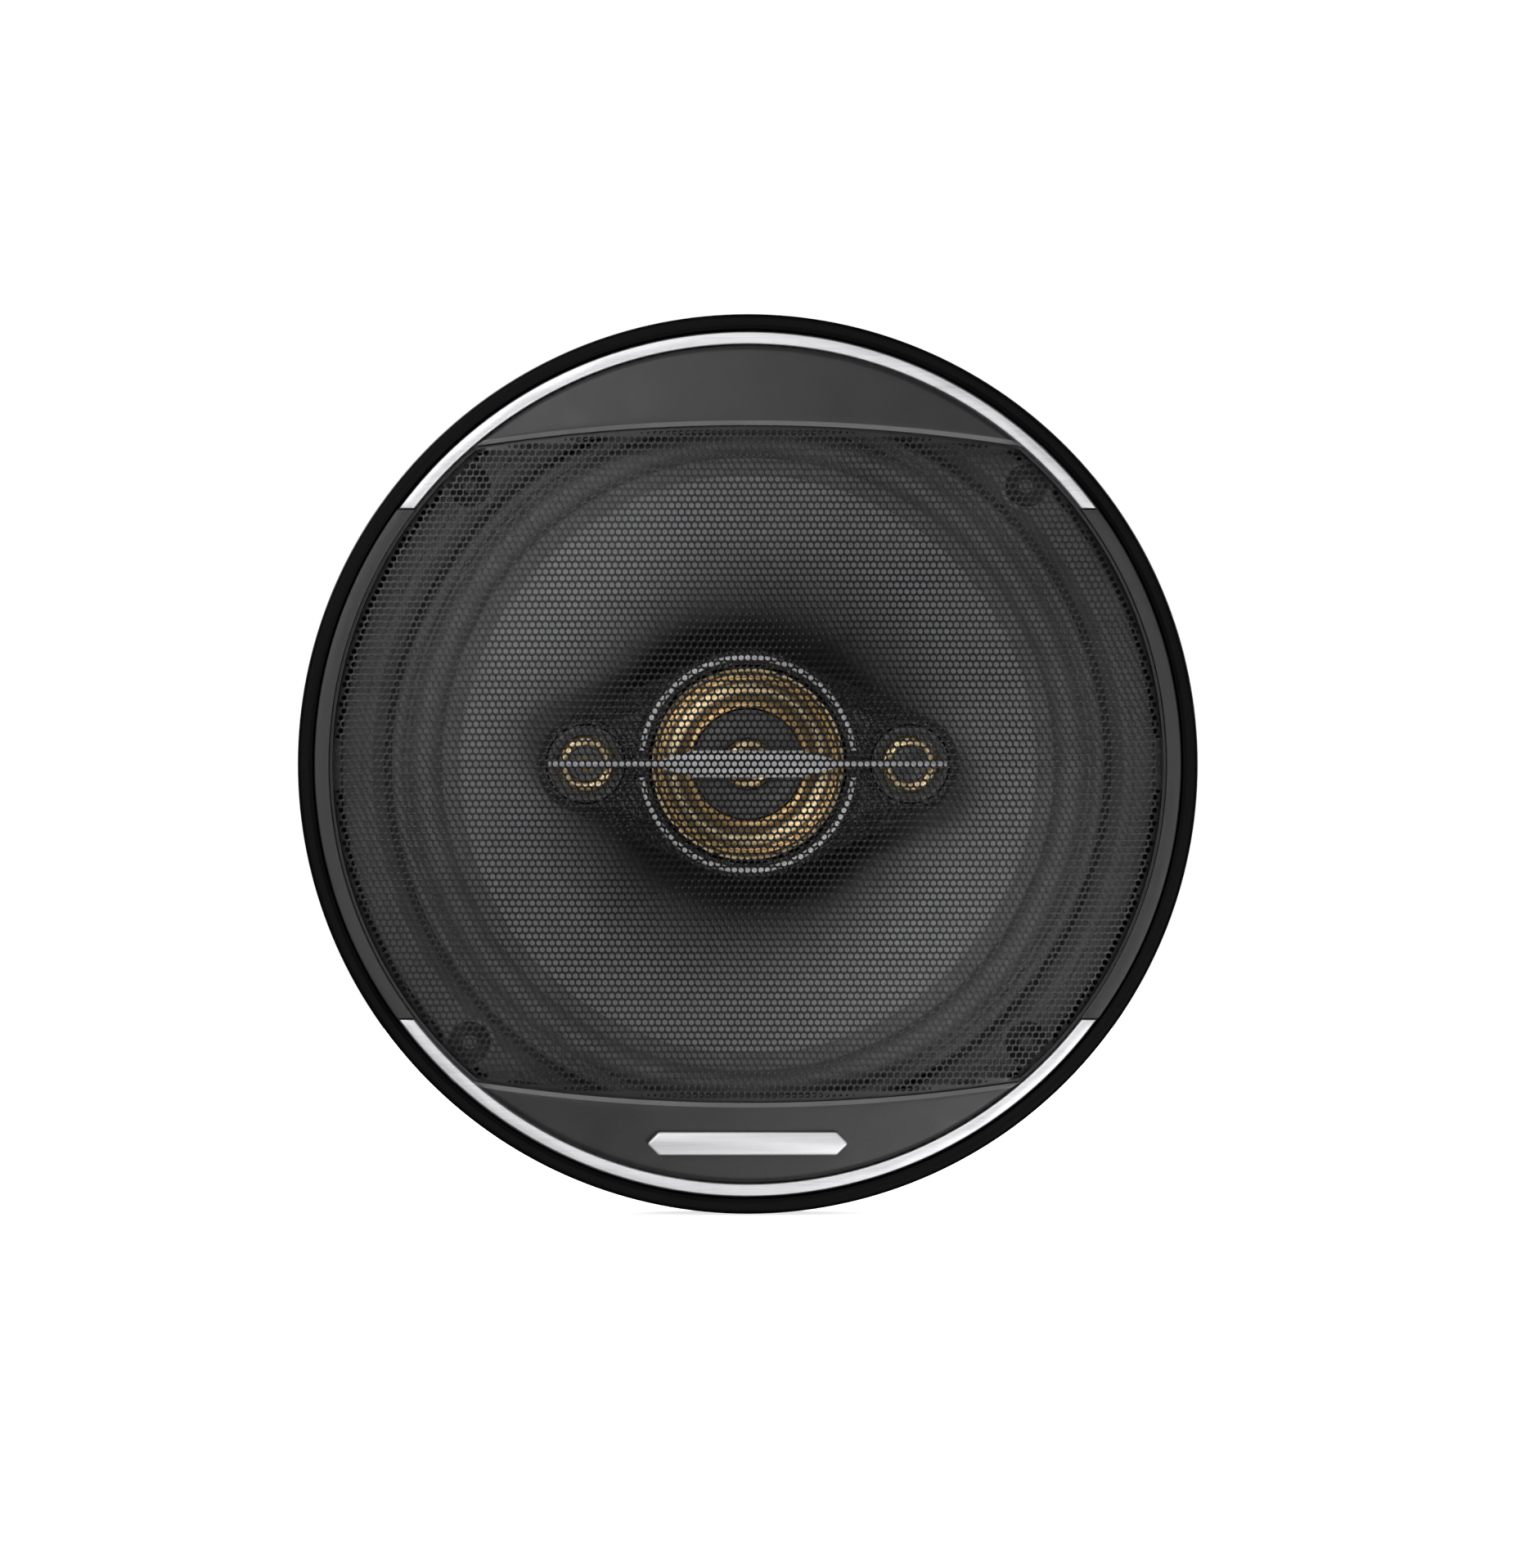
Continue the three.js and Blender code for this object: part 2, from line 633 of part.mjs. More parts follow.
add('terminal_board', block(
  [SHELF_INNER_R + 1.6, -BOARD_HALF_WIDTH, boardRearZ],
  [SHELF_OUTER_R, BOARD_HALF_WIDTH, boardFrontZ],
), boardLaminate, terminalSide);
add('terminal_tab_positive', solderTab(4.8, -1), tinPlate, terminalSide);
add('terminal_tab_negative', solderTab(2.8, 1), tinPlate, terminalSide);
add('tinsel_lead_positive', tinselLead(-1), copper, terminalSide);
add('tinsel_lead_negative', tinselLead(1), copper, terminalSide);

const midrangeCapacitorSide = new THREE.Group();
midrangeCapacitorSide.rotation.z = TERMINAL_ANGLE - THREE.MathUtils.degToRad(20);
speaker.add(midrangeCapacitorSide);
add('midrange_capacitor', capacitor(4, 15, 46), capacitorSleeve, midrangeCapacitorSide);

const tweeterCapacitorSide = new THREE.Group();
tweeterCapacitorSide.rotation.z = TERMINAL_ANGLE + THREE.MathUtils.degToRad(17);
speaker.add(tweeterCapacitorSide);
add('tweeter_capacitor', capacitor(3, 12, 44), capacitorSleeve, tweeterCapacitorSide);

// ---------- cone, surround, spider and voice coil ----------

function coneZ(radius) {
  const along = (radius - NECK_R) / (RIM_R - NECK_R);
  return NECK_Z + (RIM_Z - NECK_Z) * (1 - (1 - along) ** CONE_CURVE);
}

function cone() {
  const steps = 5;
  const radii = [];
  for (let step = 0; step <= steps; step += 1) {
    radii.push(NECK_R + (RIM_R - NECK_R) * step / steps);
  }
  const rear = radii.map((radius) => [radius, coneZ(radius) - CONE_THICKNESS]);
  const front = radii.map((radius) => [radius, coneZ(radius)]).reverse();
  return turned([...rear, ...front], CONE_FACETS);
}

function surround() {
  const frontZ = SURROUND_REAR_Z + SURROUND_THICKNESS;
  const under = arcPoints(ROLL_CENTRE_R, SURROUND_REAR_Z, ROLL_UNDER_R, Math.PI, 0, 4);
  const over = arcPoints(ROLL_CENTRE_R, frontZ, ROLL_OVER_R, 0, Math.PI, 4);
  return turned([
    [SURROUND_INNER_R, SURROUND_REAR_Z],
    ...under,
    [SURROUND_OUTER_R, SURROUND_REAR_Z],
    [SURROUND_OUTER_R, frontZ],
    ...over,
    [SURROUND_INNER_R, frontZ],
  ], CONE_FACETS);
}

// A pleated disc, drawn as a zigzag
function spider() {
  const middle = [];
  for (let pleat = 0; pleat <= PLEATS; pleat += 1) {
    const radius = NECK_R + (PLEATED_R - NECK_R) * pleat / PLEATS;
    const isRaised = pleat % 2 === 1;
    middle.push([radius, isRaised ? SPIDER_Z + PLEAT_HEIGHT : SPIDER_Z]);
  }
  middle.push([SPIDER_OUTER_R, SPIDER_Z]);
  const rear = middle.map(([radius, z]) => [radius, z - SPIDER_THICKNESS / 2]);
  const front = middle.map(([radius, z]) => [radius, z + SPIDER_THICKNESS / 2]).reverse();
  return turned([...rear, ...front], MIDDLE);
}

const formerRearZ = windingMidZ - WINDING_HEIGHT / 2 - 0.5;
add('cone', cone(), coneFilm);
add('surround', surround(), blackRubber);
add('spider', spider(), spiderCloth);
add('voice_coil_former',
  tube(FORMER_INNER_R, FORMER_OUTER_R, formerRearZ, NECK_Z + 0.6), aluminiumFoil);
add('voice_coil_winding', tube(
  FORMER_OUTER_R + 0.1,
  WINDING_OUTER_R,
  windingMidZ - WINDING_HEIGHT / 2,
  windingMidZ + WINDING_HEIGHT / 2,
), copper);

// ---------- centre module ----------

// Outline of a large centre circle and two small side circles, joined by their tangents
function lobedShape(centreR, sideR) {
  const tangent = Math.acos((centreR - sideR) / TWEETER_X);
  const shape = new THREE.Shape();
  shape.absarc(TWEETER_X, 0, sideR, -tangent, tangent, false);
  shape.absarc(0, 0, centreR, tangent, Math.PI - tangent, false);
  shape.absarc(-TWEETER_X, 0, sideR, Math.PI - tangent, Math.PI + tangent, false);
  shape.absarc(0, 0, centreR, Math.PI + tangent, FULL_TURN - tangent, false);
  shape.closePath();
  return shape;
}

function atModuleScrew(piece, side) {
  return piece.translate(side * MODULE_SCREW_X, side * MODULE_SCREW_Y, 0);
}

function moduleHousing() {
  const flankTop = lobedShape(MODULE_R - FLANK_INSET, LOBE_R - FLANK_INSET);
  const flanks = new THREE.ExtrudeGeometry(flankTop, {
    depth: MODULE_SHOULDER_Z - MODULE_REAR_Z + 1,
    bevelSize: FLANK_INSET,
    bevelThickness: MODULE_FLANK_TOP_Z - MODULE_SHOULDER_Z,
    bevelSegments: 1,
    curveSegments: 5,
  });
  flanks.translate(0, 0, MODULE_REAR_Z - 1);
  const span = 2 * (TWEETER_X + LOBE_R);
  const behind = block([-span, -span, MODULE_REAR_Z - span], [span, span, MODULE_REAR_Z]);
  const barrel = disc(MODULE_R, MODULE_REAR_Z, MODULE_FRONT_Z, MIDDLE);
  const turrets = sides.map((side) => (
    disc(TURRET_R, MODULE_REAR_Z, TURRET_FRONT_Z, TURRET_FACETS).translate(side * TWEETER_X, 0, 0)));
  const tweeterBores = sides.map((side) => (
    disc(TWEETER_BORE_R, 0, GRILLE_HEIGHT, TURRET_FACETS).translate(side * TWEETER_X, 0, 0)));
  const screwBores = sides.map((side) => (
    atModuleScrew(disc(MODULE_SCREW_BORE_R, 0, MODULE_SCREW_TIP_Z + 0.4, SMALL), side)));
  const midrangeBore = disc(MIDRANGE_BORE_R, 0, GRILLE_HEIGHT, MIDDLE);
  const body = cut(flanks, behind);
  return cut(join(body, barrel, ...turrets), midrangeBore, ...tweeterBores, ...screwBores);
}

// A bowl behind the midrange with a flat arm behind each tweeter
function moduleBackCover() {
  const armFrontZ = MODULE_REAR_Z - GAP;
  const armRearZ = armFrontZ - COVER_ARM;
  const armInset = 0.6;
  const shape = lobedShape(MODULE_R - armInset, LOBE_R - armInset);
  const arms = slab(shape, armRearZ, armFrontZ, 5);
  const rimZ = armRearZ + 0.5;
  const bowl = turned([
    [0, COVER_FLOOR_Z],
    [BOWL_FLOOR_R, COVER_FLOOR_Z],
    [BOWL_R, rimZ],
    [BOWL_R, armFrontZ],
    [0, armFrontZ],
  ], MIDDLE);
  const hollowFloorZ = COVER_FLOOR_Z + COVER_WALL;
  const hollow = turned([
    [0, hollowFloorZ],
    [BOWL_FLOOR_R - 1, hollowFloorZ],
    [MIDRANGE_BORE_R, rimZ],
    [MIDRANGE_BORE_R, armFrontZ + 1],
    [0, armFrontZ + 1],
  ], MIDDLE);
  const postHole = disc(POST_BORE_R, COVER_FLOOR_Z - 1, 0, SMALL);
  const screwHoles = sides.map((side) => (
    atModuleScrew(disc(MODULE_SCREW_BORE_R, 0, MODULE_FRONT_Z, SMALL), side)));
  return cut(join(arms, bowl), hollow, postHole, ...screwHoles);
}

function moduleScrew() {
  const headR = 2.2;
  const shankR = 1;
  const headFrontZ = MODULE_REAR_Z - 2 * GAP - COVER_ARM;
  const headRearZ = headFrontZ - 1.1;
  return turned([
    [0, headRearZ],
    [headR, headRearZ],
    [headR, headFrontZ],
    [shankR, headFrontZ],
    [shankR, MODULE_SCREW_TIP_Z],
    [0, MODULE_SCREW_TIP_Z],
  ], SMALL);
}

// One half of the bright ring around the midrange, open where the cross bar passes
function halfRing() {
  const shape = stripShape(TRIM_RING_INNER_R, TRIM_RING_OUTER_R, TRIM_RING_BREAK);
  return slab(shape, MODULE_FRONT_Z + GAP, MODULE_FRONT_Z + GAP + 1.2, 12);
}

// A thin bar that widens into a pointed oval plate over the dome
function crossBar() {
  const shape = new THREE.Shape();
  shape.moveTo(-BAR_HALF_LENGTH, -BAR_HALF_HEIGHT);
  shape.lineTo(-LENS_HALF_LENGTH, -BAR_HALF_HEIGHT);
  shape.lineTo(-LENS_FLAT_HALF_LENGTH, -LENS_HALF_HEIGHT);
  shape.lineTo(LENS_FLAT_HALF_LENGTH, -LENS_HALF_HEIGHT);
  shape.lineTo(LENS_HALF_LENGTH, -BAR_HALF_HEIGHT);
  shape.lineTo(BAR_HALF_LENGTH, -BAR_HALF_HEIGHT);
  shape.lineTo(BAR_HALF_LENGTH, BAR_HALF_HEIGHT);
  shape.lineTo(LENS_HALF_LENGTH, BAR_HALF_HEIGHT);
  shape.lineTo(LENS_FLAT_HALF_LENGTH, LENS_HALF_HEIGHT);
  shape.lineTo(-LENS_FLAT_HALF_LENGTH, LENS_HALF_HEIGHT);
  shape.lineTo(-LENS_HALF_LENGTH, BAR_HALF_HEIGHT);
  shape.lineTo(-BAR_HALF_LENGTH, BAR_HALF_HEIGHT);
  shape.closePath();
  return slab(shape, MODULE_FRONT_Z + GAP, MODULE_FRONT_Z + GAP + 1.4);
}

add('module_housing', moduleHousing(), blackPlastic);
add('module_back_cover', moduleBackCover(), blackPlastic);
add('silver_ring_upper', halfRing(), brushedSilver);
add('silver_ring_lower', halfRing().rotateZ(Math.PI), brushedSilver);
add('cross_bar', crossBar(), brushedSilver);
add('module_screw_left', atModuleScrew(moduleScrew(), -1), zincSteel);
add('module_screw_right', atModuleScrew(moduleScrew(), 1), zincSteel);

// ---------- midrange ----------

function midrangePot() {
  return turned([
    [0, -2.5],
    [13.5, -2.5],
    [13.5, 5],
    [10.9, 5],
    [10.9, 0],
    [0, 0],
  ], MIDDLE);
}

// A broad roll with a dark valley inside it and a flat glued edge outside it
function midrangeSurround() {
  const film = 0.5;
  const rolled = [
    [DOME_R + 0.4, 9.2],
    [11.4, 8.7],
    [12.6, 9.9],
    [14.2, 10.9],
    [15.8, 10.4],
    [17.1, 9.1],
    [MIDRANGE_R, 9.1],
  ];
  const rear = rolled.map(([radius, z]) => [radius, z - film]);
  return turned([...rear, ...rolled.slice().reverse()], MIDDLE);
}

function midrangeDome() {
  return turned([
    [5, 9],
    [DOME_R, 8.8],
    [DOME_R, 9.3],
    [8.6, 10],
    [6.8, 10.2],
    [5, 9.8],
  ], MIDDLE);
}

function midrangeCentre() {
  return turned([
    [0, 8.8],
    [4.7, 8.8],
    [4.7, 9.1],
    [3.6, 9.4],
    [2.6, 10.1],
    [0, 10.6],
  ], SMALL);
}

add('midrange_frame', tube(16.2, 18.6, 5.4, 8.1), blackPlastic);
add('midrange_pot', midrangePot(), zincSteel);
add('midrange_magnet', disc(8.4, GAP, 2.8), neodymium);
add('midrange_pole_plate', disc(9.2, 2.8 + GAP, 5.2), zincSteel);
add('midrange_surround', midrangeSurround(), goldFilm);
add('midrange_dome', midrangeDome(), greyDome);
add('midrange_centre_cap', midrangeCentre(), goldFilm);
add('midrange_voice_coil', tube(9.7, 10.2, 3.4, 8.4), copper);

// ---------- tweeter and super tweeter ----------

function tweeterBezel() {
  return turned([
    [5.6, 8.5],
    [7.3, 8.5],
    [7.3, 11.6],
    [6.9, 12],
    [6.4, 12],
    [5.6, 10.2],
  ], SMALL);
}

function tweeterPot() {
  return turned([
    [0, 4.4],
    [6.6, 4.4],
    [6.6, 7.8],
    [3.7, 7.8],
    [3.7, 5.4],
    [0, 5.4],
  ], SMALL);
}

function tweeterRoll() {
  return turned([
    [3.5, 8.8],
    [5.1, 8.8],
    [5.1, 9.2],
    [4.3, 9.9],
    [3.5, 9.3],
  ], SMALL);
}

// The tweeter has a small dome standing in a dished ring
function dishedDome() {
  return turned([[0, 8.8], [3.2, 8.8], [3.2, 9.6], [1.6, 9.2], [1.2, 9.8], [0, 10.1]], SMALL);
}

// The super tweeter has a plain, almost flat dome
function plainDome() {
  return turned([[0, 8.8], [3.2, 8.8], [3.2, 9.2], [1.8, 9.5], [0, 9.6]], SMALL);
}

function addTweeter(name, x, dome) {
  const unit = new THREE.Group();
  unit.position.x = x;
  speaker.add(unit);
  add(`${name}_bezel`, tweeterBezel(), blackPlastic, unit);
  add(`${name}_pot`, tweeterPot(), zincSteel, unit);
  add(`${name}_magnet`, disc(2.3, 5.4 + GAP, 7.6, SMALL), neodymium, unit);
  add(`${name}_roll`, tweeterRoll(), goldFilm, unit);
  add(`${name}_dome`, dome, greyDome, unit);
  add(`${name}_voice_coil`, tube(2.8, 3.2, 6.4, 8.5, SMALL), copper, unit);
}

addTweeter('tweeter', -TWEETER_X, dishedDome());
addTweeter('super_tweeter', TWEETER_X, plainDome());

// ---------- upright, facing -Y ----------

speaker.rotation.x = QUARTER_TURN;

export default speaker;
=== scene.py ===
import math

import bmesh
import bpy
import numpy as np
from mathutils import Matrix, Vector


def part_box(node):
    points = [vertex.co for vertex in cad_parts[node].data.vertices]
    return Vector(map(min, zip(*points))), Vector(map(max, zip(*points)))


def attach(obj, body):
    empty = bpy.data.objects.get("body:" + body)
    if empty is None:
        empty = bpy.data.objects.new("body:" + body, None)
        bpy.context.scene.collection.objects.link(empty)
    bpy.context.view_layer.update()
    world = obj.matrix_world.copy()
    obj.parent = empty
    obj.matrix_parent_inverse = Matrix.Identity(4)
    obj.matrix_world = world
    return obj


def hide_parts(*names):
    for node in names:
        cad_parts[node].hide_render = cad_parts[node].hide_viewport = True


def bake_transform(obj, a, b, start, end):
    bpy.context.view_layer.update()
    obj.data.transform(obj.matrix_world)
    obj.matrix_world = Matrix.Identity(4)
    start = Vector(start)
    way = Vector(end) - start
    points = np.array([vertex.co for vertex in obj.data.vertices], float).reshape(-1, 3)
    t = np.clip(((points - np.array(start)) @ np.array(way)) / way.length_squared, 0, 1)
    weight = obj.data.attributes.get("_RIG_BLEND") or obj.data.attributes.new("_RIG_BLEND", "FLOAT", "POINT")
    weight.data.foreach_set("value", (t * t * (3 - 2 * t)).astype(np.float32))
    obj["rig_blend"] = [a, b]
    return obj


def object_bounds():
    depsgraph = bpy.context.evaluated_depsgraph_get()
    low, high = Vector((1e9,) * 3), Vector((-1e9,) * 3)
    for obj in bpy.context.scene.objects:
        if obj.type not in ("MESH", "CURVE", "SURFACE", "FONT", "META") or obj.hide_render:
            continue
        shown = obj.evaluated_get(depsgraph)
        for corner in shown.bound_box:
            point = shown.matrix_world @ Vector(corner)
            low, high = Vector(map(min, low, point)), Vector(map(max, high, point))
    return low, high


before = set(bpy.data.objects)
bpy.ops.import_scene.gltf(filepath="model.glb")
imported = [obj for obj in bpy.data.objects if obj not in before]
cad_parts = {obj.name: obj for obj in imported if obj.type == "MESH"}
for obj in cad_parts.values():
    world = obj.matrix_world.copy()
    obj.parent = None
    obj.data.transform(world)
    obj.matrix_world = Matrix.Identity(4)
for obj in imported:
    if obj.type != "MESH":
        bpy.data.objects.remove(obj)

# A four-way coaxial car loudspeaker, standing upright and facing -Y.
# The pieces are drawn in the speaker's own millimetres: x to the right, y up, z to the front,
# with z = 0 on the rear face of the flange. place() turns them into the frame's metres.

cad_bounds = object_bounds()
MM = 0.001
FULL_TURN = 2 * math.pi
QUARTER_TURN = math.pi / 2


# ---------- sizes read from the CAD frame ----------

def front(node):
    return -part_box(node)[0][1] / MM


def rear(node):
    return -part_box(node)[1][1] / MM


def span(node):
    """Where the node starts and ends along the speaker's axis."""
    return rear(node), front(node)


def radius(node):
    low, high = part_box(node)
    return (high[0] - low[0]) / 2 / MM


def middle_x(node):
    low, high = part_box(node)
    return (high[0] + low[0]) / 2 / MM


OUTER_R = radius("outer_ring")
RING_FRONT_Z = front("outer_ring")
RING_REAR_Z = rear("outer_ring")
RING_INNER_R = OUTER_R - 2.8
BEZEL_R = radius("bezel")
BEZEL_FRONT_Z = RING_FRONT_Z - 0.7
BEZEL_REAR_Z = 6
BEZEL_LIP_R = BEZEL_R - 3.3
BEZEL_LIP_REAR_Z = 11.9
BEZEL_WALL = 2.3
CLIP_REAR_Z = rear("bezel")
CLIP_HALF_WIDTH = 6
STRIP_R = BEZEL_R - 0.3
STRIP_INNER_R = STRIP_R - 2.2
STRIP_END_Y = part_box("silver_strip_top")[0][2] / MM
STRIP_FRONT_Z = front("silver_strip_top")
STRIP_REAR_Z = rear("silver_strip_top")
PANEL_EDGE_Y = 63.9
PANEL_EDGE_R = 343
PANEL_EDGE_CENTRE_Y = PANEL_EDGE_R - PANEL_EDGE_Y
PANEL_EDGE_Z = 16.7
PANEL_SLOPE = 0.125
PANEL_SLOPE_START_R = 57.9
PANEL_THICKNESS = 1.8
SHEET_R = radius("perforated_sheet")
SHEET_FRONT_Z = front("perforated_sheet")
SHEET_DROP = 3.2
SHEET_SHOULDER_R = SHEET_R - 1.3
SHEET_EDGE_GAP = 0.6
SHEET_THICKNESS = 0.45
HOLE_PITCH = 1.25
HOLE_R = 0.5
HOLE_RIM_R = 0.535
FLANGE_R = radius("basket")
SCREW_PITCH_R = 75
MOUNT_RING_FRONT_Z = front("grille_mount_ring")
MOUNT_RING_REAR_Z = rear("grille_mount_ring")
TWEETER_X = middle_x("super_tweeter_bezel")
MODULE_R = 21.6
LOBE_R = 9.5
MODULE_FRONT_Z = front("module_housing")
MODULE_REAR_Z = rear("module_housing")
BAR_HALF_LENGTH = radius("cross_bar")
NECK_R = 13.1
CONE_R = radius("cone")
CONE_FRONT_Z = front("cone")
CONE_REAR_Z = rear("cone")
SURROUND_R = radius("surround")
SURROUND_REAR_Z = rear("surround")
TERMINAL_ANGLE = math.radians(225)


# ---------- outlines ----------

def polar(r, angle):
    return r * math.cos(angle), r * math.sin(angle)


def rounded(corners, steps=4):
    """A closed outline, in which each corner with a third number becomes an arc of that radius."""
    outline = []
    for i, corner in enumerate(corners):
        here = np.array(corner[:2], float)
        if len(corner) == 2:
            outline.append(tuple(here))
            continue
        before = np.array(corners[i - 1][:2]) - here
        after = np.array(corners[(i + 1) % len(corners)][:2]) - here
        reach = [np.linalg.norm(before), np.linalg.norm(after)]
        before, after = before / reach[0], after / reach[1]
        half = math.acos(np.clip(before @ after, -1, 1)) / 2
        run = min(corner[2] / math.tan(half), 0.49 * min(reach))
        size = run * math.tan(half)
        bisector = (before + after) / np.linalg.norm(before + after)
        centre = here + bisector * size / math.sin(half)
        first, last = here + before * run - centre, here + after * run - centre
        sweep = math.pi - 2 * half
        for step in range(steps + 1):
            t = step / steps
            turn = (math.sin((1 - t) * sweep) * first + math.sin(t * sweep) * last) / math.sin(sweep)
            outline.append(tuple(centre + turn))
    return outline


def arc(centre_x, centre_y, r, start, end, steps):
    angles = np.linspace(start, end, steps + 1)
    return [(centre_x + r * math.cos(a), centre_y + r * math.sin(a)) for a in angles]


def inset(outline, distance):
    """The outline moved inwards. It runs counter-clockwise."""
    points = np.array(outline, float)
    forward = np.roll(points, -1, axis=0) - points
    forward /= np.linalg.norm(forward, axis=1)[:, None]
    inward = np.column_stack([-forward[:, 1], forward[:, 0]])
    mitre = inward + np.roll(inward, 1, axis=0)
    mitre /= (1 + (inward * np.roll(inward, 1, axis=0)).sum(axis=1))[:, None]
    return points + mitre * distance


# ---------- meshes ----------

def place(points):
    x, y, z = np.asarray(points, float).reshape(-1, 3).T
    return np.column_stack([x, -z, y]) * MM


def linked(name, data):
    added = bpy.data.objects.new(name, data)
    bpy.context.scene.collection.objects.link(added)
    return added


def body_mesh(points, faces):
    """An object with one closed mesh, from points in the speaker's millimetres."""
    mesh = bpy.data.meshes.new("piece")
    mesh.from_pydata(place(points).tolist(), [], faces)
    bm = bmesh.new()
    bm.from_mesh(mesh)
    bmesh.ops.remove_doubles(bm, verts=bm.verts, dist=1e-7)
    bmesh.ops.recalc_face_normals(bm, faces=bm.faces)
    bm.to_mesh(mesh)
    bm.free()
    return linked("piece", mesh)


def loft(rings, closed=False, open_section=False):
    """Skins a list of rings, which each have the same number of points."""
    rings = np.array(rings, float)
    count, size = rings.shape[:2]
    faces = []
    for i in range(count if closed else count - 1):
        here, following = i * size, (i + 1) % count * size
        for j in range(size - 1 if open_section else size):
            k = (j + 1) % size
            faces.append((here + j, here + k, following + k, following + j))
    if not closed:
        faces.append(tuple(range(size))[::-1])
        faces.append(tuple(range((count - 1) * size, count * size)))
    return body_mesh(rings, faces)


def turned(profile, segments=192, x=0.0, y=0.0):
    """Turns a closed [radius, z] outline about the z axis, or about a parallel axis through x, y."""
    rings = []
    for step in range(segments):
        c, s = polar(1, FULL_TURN * step / segments)
        rings.append([(x + r * c, y + r * s, z) for r, z in profile])
    return loft(rings, closed=True, open_section=profile[0][0] == 0)


def tube(inner_r, outer_r, rear_z, front_z, edge, segments, x=0.0):
    corners = [
        (inner_r, rear_z, edge), (outer_r, rear_z, edge),
        (outer_r, front_z, edge), (inner_r, front_z, edge),
    ]
    return turned(rounded(corners, 3), segments, x)


def disc(r, rear_z, front_z, edge=0.0, segments=64, x=0.0, y=0.0):
    corners = [(0, rear_z), (r, rear_z, edge), (r, front_z, edge), (0, front_z)]
    if not edge:
        corners = [corner[:2] for corner in corners]
    return turned(rounded(corners, 3), segments, x, y)


def slab(outline, rear_z, front_z, edge=0.3, rear_edge=0.0):
    """A flat outline given thickness, with a rounded front edge."""
    levels = []
    if rear_edge:
        levels += [(rear_edge, rear_z), (0, rear_z + rear_edge)]
    else:
        levels.append((0, rear_z))
    steps = 3
    for step in range(steps + 1):
        turn = QUARTER_TURN * step / steps
        levels.append((edge * (1 - math.cos(turn)), front_z - edge * (1 - math.sin(turn))))
    rings = []
    for distance, z in levels:
        flat = inset(outline, distance)
        rings.append(np.column_stack([flat, np.full(len(flat), z)]))
    return loft(rings)


def box_outline(low_x, low_y, high_x, high_y, corner=0.4):
    return rounded([
        (low_x, low_y, corner), (high_x, low_y, corner),
        (high_x, high_y, corner), (low_x, high_y, corner),
    ])


def rotated(solid, angle):
    """Turned about the speaker's axis."""
    c, s = polar(1, angle)
    for vertex in solid.data.vertices:
        x, y, z = vertex.co
        vertex.co = (x * c - z * s, y, x * s + z * c)
    return solid


def applied(solid):
    """Gives the object the mesh that its modifiers make, in place of the modifiers."""
    graph = bpy.context.evaluated_depsgraph_get()
    mesh = bpy.data.meshes.new_from_object(solid.evaluated_get(graph))
    solid.modifiers.clear()
    solid.data = mesh
    return solid


def combined(base, operation, tools):
    for tool in tools:
        modifier = base.modifiers.new("combine", "BOOLEAN")
        modifier.operation = operation
        modifier.solver = "EXACT"
        modifier.object = tool
    applied(base)
    for tool in tools:
        bpy.data.objects.remove(tool)
    return base


def union(base, *tools):
    return combined(base, "UNION", tools)


def cut(base, *tools):
    return combined(base, "DIFFERENCE", tools)


def softened(solid, width, angle=40):
    """Rounds the sharp edges of a mesh that was cut or joined."""
    modifier = solid.modifiers.new("soften", "BEVEL")
    modifier.width = width * MM
    modifier.segments = 2
    modifier.angle_limit = math.radians(angle)
    modifier.use_clamp_overlap = True
    return applied(solid)


def piece(name, solid, body, material, replaces=None, smooth=35):
    """Names a mesh, gives it its material and hangs it on its CAD body."""
    solid.name = name
    solid.data.name = name
    solid.data.materials.clear()
    solid.data.materials.append(material)
    solid.data.polygons.foreach_set("use_smooth", [True] * len(solid.data.polygons))
    solid.data.set_sharp_from_angle(angle=math.radians(smooth))
    if body:
        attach(solid, body)
    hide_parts(replaces or name)
    return solid


def turned_piece(node_name, suffix, inner_r, outer_r, edge, segments, body, material, x=0.0):
    """A tube, or a disc where the inner radius is 0, between the ends of its CAD node."""
    low, high = span(node_name)
    if inner_r:
        solid = tube(inner_r, outer_r, low, high, edge, segments, x)
    else:
        solid = disc(outer_r, low, high, edge, segments, x)
    piece(f"{node_name}_{suffix}", solid, body, material, node_name)


# ---------- materials ----------

def material(slot, name=None, **sockets):
    made = bpy.data.materials.new(name or slot)
    made.use_nodes = True
    made["slot"] = slot
    shader = made.node_tree.nodes["Principled BSDF"]
    for socket, value in sockets.items():
        shader.inputs[socket.replace("_", " ")].default_value = value
    return made


def node(made, kind, inputs, **settings):
    added = made.node_tree.nodes.new(kind)
    for setting, value in settings.items():
        setattr(added, setting, value)
    for socket, value in inputs.items():
        if isinstance(value, bpy.types.NodeSocket):
            made.node_tree.links.new(value, added.inputs[socket])
        else:
            added.inputs[socket].default_value = value
    return added


def feed(made, socket, value):
    shader = made.node_tree.nodes["Principled BSDF"]
    made.node_tree.links.new(value, shader.inputs[socket])


def coordinates(made, stretch=(1, 1, 1)):
    source = node(made, "ShaderNodeTexCoord", {}).outputs["Object"]
    return node(made, "ShaderNodeMapping", {"Vector": source, "Scale": stretch}).outputs["Vector"]


